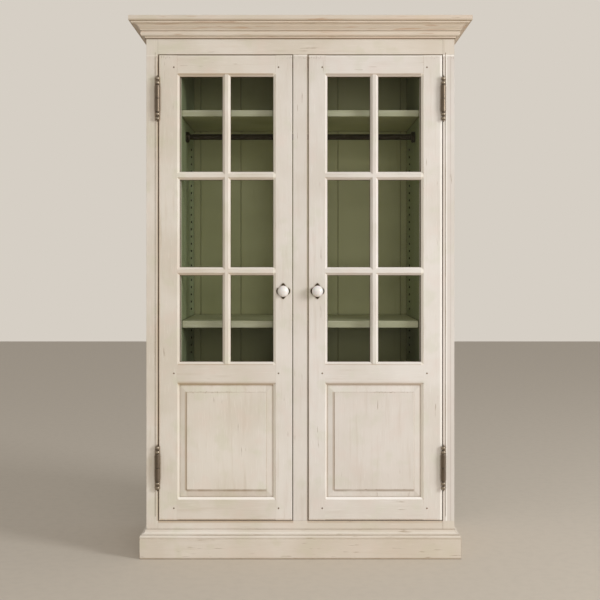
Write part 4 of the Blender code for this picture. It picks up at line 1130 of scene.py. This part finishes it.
def build_knob(side, label):
    """White knob over its dark backplate."""
    body = f"{label}_door"
    seat = Vector((side * KNOB_PLACE, FACE - KNOB_SEAT, KNOB_HEIGHT))
    piece = turn_outline(knob_outline(), seat, (0, -1, 0), KNOB_STEPS)
    finish_piece(piece, f"{body}_china_knob", body, PORCELAIN, [f"{body}_knob"], KNOB_SMOOTH)
    points = []
    for step in range(KNOB_STEPS + 1):
        angle = 2 * math.pi * step / KNOB_STEPS
        off_tip = abs(math.degrees(math.acos(abs(math.sin(angle)))))
        if off_tip < TIP_SPREAD:
            reach = PLATE_WAIST + (PLATE_HALF_TALL - PLATE_WAIST) * (1 - off_tip / TIP_SPREAD) ** TIP_CURVE
        else:
            swell = max(math.cos(2 * angle), 0) ** SIDE_CURVE
            reach = PLATE_WAIST + (PLATE_HALF_WIDE - PLATE_WAIST) * swell
        points.append((seat.x + reach * math.cos(angle), FACE - JOINT, seat.z + reach * math.sin(angle)))
    plate = start_point(points[0])
    draw_line(points)
    pick_all()
    bpy.ops.mesh.remove_doubles(threshold=JOINT)
    close_outline_and_run(plate, (0, -PLATE_THICKNESS, 0))
    pick_faces(plate, lambda face: face.normal.y < -FACING)
    bpy.ops.mesh.inset(thickness=PLATE_RIM, depth=0)
    bpy.ops.mesh.extrude_region_move(TRANSFORM_OT_translate={"value": (0, PLATE_SINK, 0)})
    bpy.ops.mesh.inset(thickness=PLATE_STEP, depth=PLATE_RISE)
    ease_edges(plate, PLATE_EASE)
    finish_piece(plate, f"{body}_knob_plate", body, DARK_BRONZE,
                 [f"{body}_backplate"])


HINGE_X = 0.577
HINGE_Y = -0.2718
KNUCKLE_RADIUS = 0.0097
KNUCKLE_LENGTH = 0.0575
LEAF_BACK = 0.018
LEAF_MARGIN = 0.004
LEAF_DEPTH_SHARE = 0.7
KNUCKLE_GAP = 0.00015


def hinge_outline():
    """Outline of half a hinge from the split upwards: barrel, two balls between grooves, and tip."""
    radius = KNUCKLE_RADIUS
    outline = [(0.0, KNUCKLE_GAP), (radius * 0.80, KNUCKLE_GAP), (radius * 0.94, KNUCKLE_GAP + 0.0008),
               (radius, KNUCKLE_GAP + 0.0016)]
    outline += [(radius, 0.0524), (radius * 0.94, 0.0534), (radius * 0.58, 0.0538), (radius * 0.52, 0.0556)]
    outline += arc((radius * 0.30, 0.0632), radius * 0.62, 0.0076, -62, 62, 14)
    outline += [(radius * 0.46, 0.0706), (radius * 0.46, 0.0730)]
    outline += arc((radius * 0.24, 0.0808), radius * 0.62, 0.0080, -62, 64, 14)
    outline += [(radius * 0.36, 0.0886), (radius * 0.22, 0.0892)]
    outline += arc((0.0, 0.0914), radius * 0.22, 0.0032, -30, 90, 4)
    return outline


def build_hinge(side, label, level, height):
    """One lift-off hinge with its two halves, each with a leaf into the gap beside the door."""
    door_edge, frame_edge = DOOR_OUTER + JOINT / 2, HINGE_X - JOINT * 6
    for half, direction, body in (("door", 1, f"{label}_door"), ("frame", -1, "carcass")):
        place = Vector((side * HINGE_X, HINGE_Y, height))
        piece = turn_outline(hinge_outline(), place, (0, 0, direction), steps=40)
        low, high = sorted(height + direction * away for away in (LEAF_MARGIN, KNUCKLE_LENGTH - LEAF_MARGIN))
        leaf_front = HINGE_Y + KNUCKLE_RADIUS * LEAF_DEPTH_SHARE
        more_block(*across(side, door_edge, frame_edge, leaf_front, FACE + LEAF_BACK, low, high))
        bpy.ops.mesh.normals_make_consistent(inside=False)
        finish_piece(piece, f"{label}_{level}_hinge_{half}_leaf", body, PEWTER,
                     [f"{label}_{level}_hinge_{half}_half"], HINGE_SMOOTH)


for turn, end in SIDES:
    build_door_frame(turn, end)
    build_putty(turn, end)
    build_panel(turn, end)
    build_pegs(turn, end)
    build_knob(turn, end)
    for level, height in HINGE_HEIGHTS:
        build_hinge(turn, end, level, height)


# Room, lights and camera


def stage_sheet(name, low, high, finish):
    """A flat sheet of the room, which isn't part of the cupboard."""
    piece = start_block(low, high)
    object_mode()
    piece.name = name
    piece.data.materials.append(finish)


UNDER_LAMPS = (-1.8, -3.8)
FLOOR_REACH = 12.0
FLOOR_THICKNESS = 0.02
SKY_LOW = 0.285
SKY_HIGH = 0.485
KEY_POWER = 349
FILL_POWER = 107
LAMP_TARGET = (0.0, -0.2, 1.1)


def room_finish(name, colour, rough):
    """Matt paint of the room, with painted shade where the lamps stand over it, against their pool of light.
    """
    sheet = Recipe(name)
    duller, darker = (tuple(part * share for part in colour[:3]) + (1.0,) for share in (0.97, 0.60))
    sheet.colour = sheet.layer(colour, duller, sheet.ramp(sheet.noise(EVEN, 24.0, 3.0), 0.4, 0.7))
    # Painted shade on the floor under the lamps, against their pool of light.
    sheet.colour = sheet.layer(sheet.colour, darker, sheet.ramp(sheet.axis("Y"), *UNDER_LAMPS))
    return sheet.surface(rough, {}, Specular_IOR_Level=0.1)


stage_sheet("floor", (-FLOOR_REACH, -FLOOR_REACH, -FLOOR_THICKNESS), (FLOOR_REACH, FLOOR_REACH, 0.0),
            room_finish("pale_floor", shade(212, 202, 188), 0.8))


def studio_world():
    """Soft light from all round, stronger from above. The camera and mirrors see a plain backdrop."""
    world = bpy.data.worlds.new("studio")
    world.use_nodes = True
    tree = world.node_tree
    height = add_node(tree, "SeparateXYZ", {"Vector": add_node(tree, "TexCoord")["Generated"]})["Z"]
    rise = {"Value": height, "From Min": -1.0, "From Max": 1.0, "To Min": SKY_LOW, "To Max": SKY_HIGH}
    from_above = add_node(tree, "MapRange", rise)["Result"]
    sky = add_node(tree, "Background", {"Color": (1.0, 0.970, 0.930, 1.0), "Strength": from_above})
    backdrop = add_node(tree, "Background", {"Color": shade(214, 207, 197), "Strength": 1.0})
    rays = add_node(tree, "LightPath")
    seen = rays["Is Camera Ray"]
    for words in ("Is Glossy Ray", "Is Transmission Ray"):
        seen = add_node(tree, "Math", {0: seen, 1: rays[words]}, operation="MAXIMUM")["Value"]
    choice = add_node(tree, "MixShader", {0: seen, 1: sky["Background"], 2: backdrop["Background"]})
    tree.links.new(choice["Shader"], tree.nodes["World Output"].inputs["Surface"])
    bpy.context.scene.world = world


studio_world()


def soft_light(name, place, width, height, power, colour, shines=True):
    """A soft light that points at the cupboard, and may be kept out of reflections."""
    lamp = bpy.data.lights.new(name, "AREA")
    lamp.shape = "RECTANGLE"
    lamp.size = width
    lamp.size_y = height
    lamp.energy = power
    lamp.color = colour
    holder = bpy.data.objects.new(name, lamp)
    holder.location = place
    holder.rotation_euler = (Vector(LAMP_TARGET) - Vector(place)).to_track_quat("-Z", "Y").to_euler()
    holder.visible_glossy = shines
    bpy.context.collection.objects.link(holder)


soft_light("key", (6.40, -4.05, 2.95), 2.2, 2.2, KEY_POWER, (0.96, 0.98, 1.0))
soft_light("fill", (0.9, -6.6, 1.7), 3.0, 2.2, FILL_POWER, (1.0, 0.98, 0.95), shines=False)

camera = bpy.data.cameras.new("camera")
camera.lens = CAMERA_LENS
camera.shift_x, camera.shift_y = CAMERA_SHIFT
view = bpy.data.objects.new("camera", camera)
view.location = (0.0, FACE - CAMERA_DISTANCE, CAMERA_HEIGHT)
view.rotation_euler = (math.pi / 2, 0.0, 0.0)
bpy.context.collection.objects.link(view)
bpy.context.scene.camera = view
bpy.context.scene.view_settings.view_transform = "Standard"
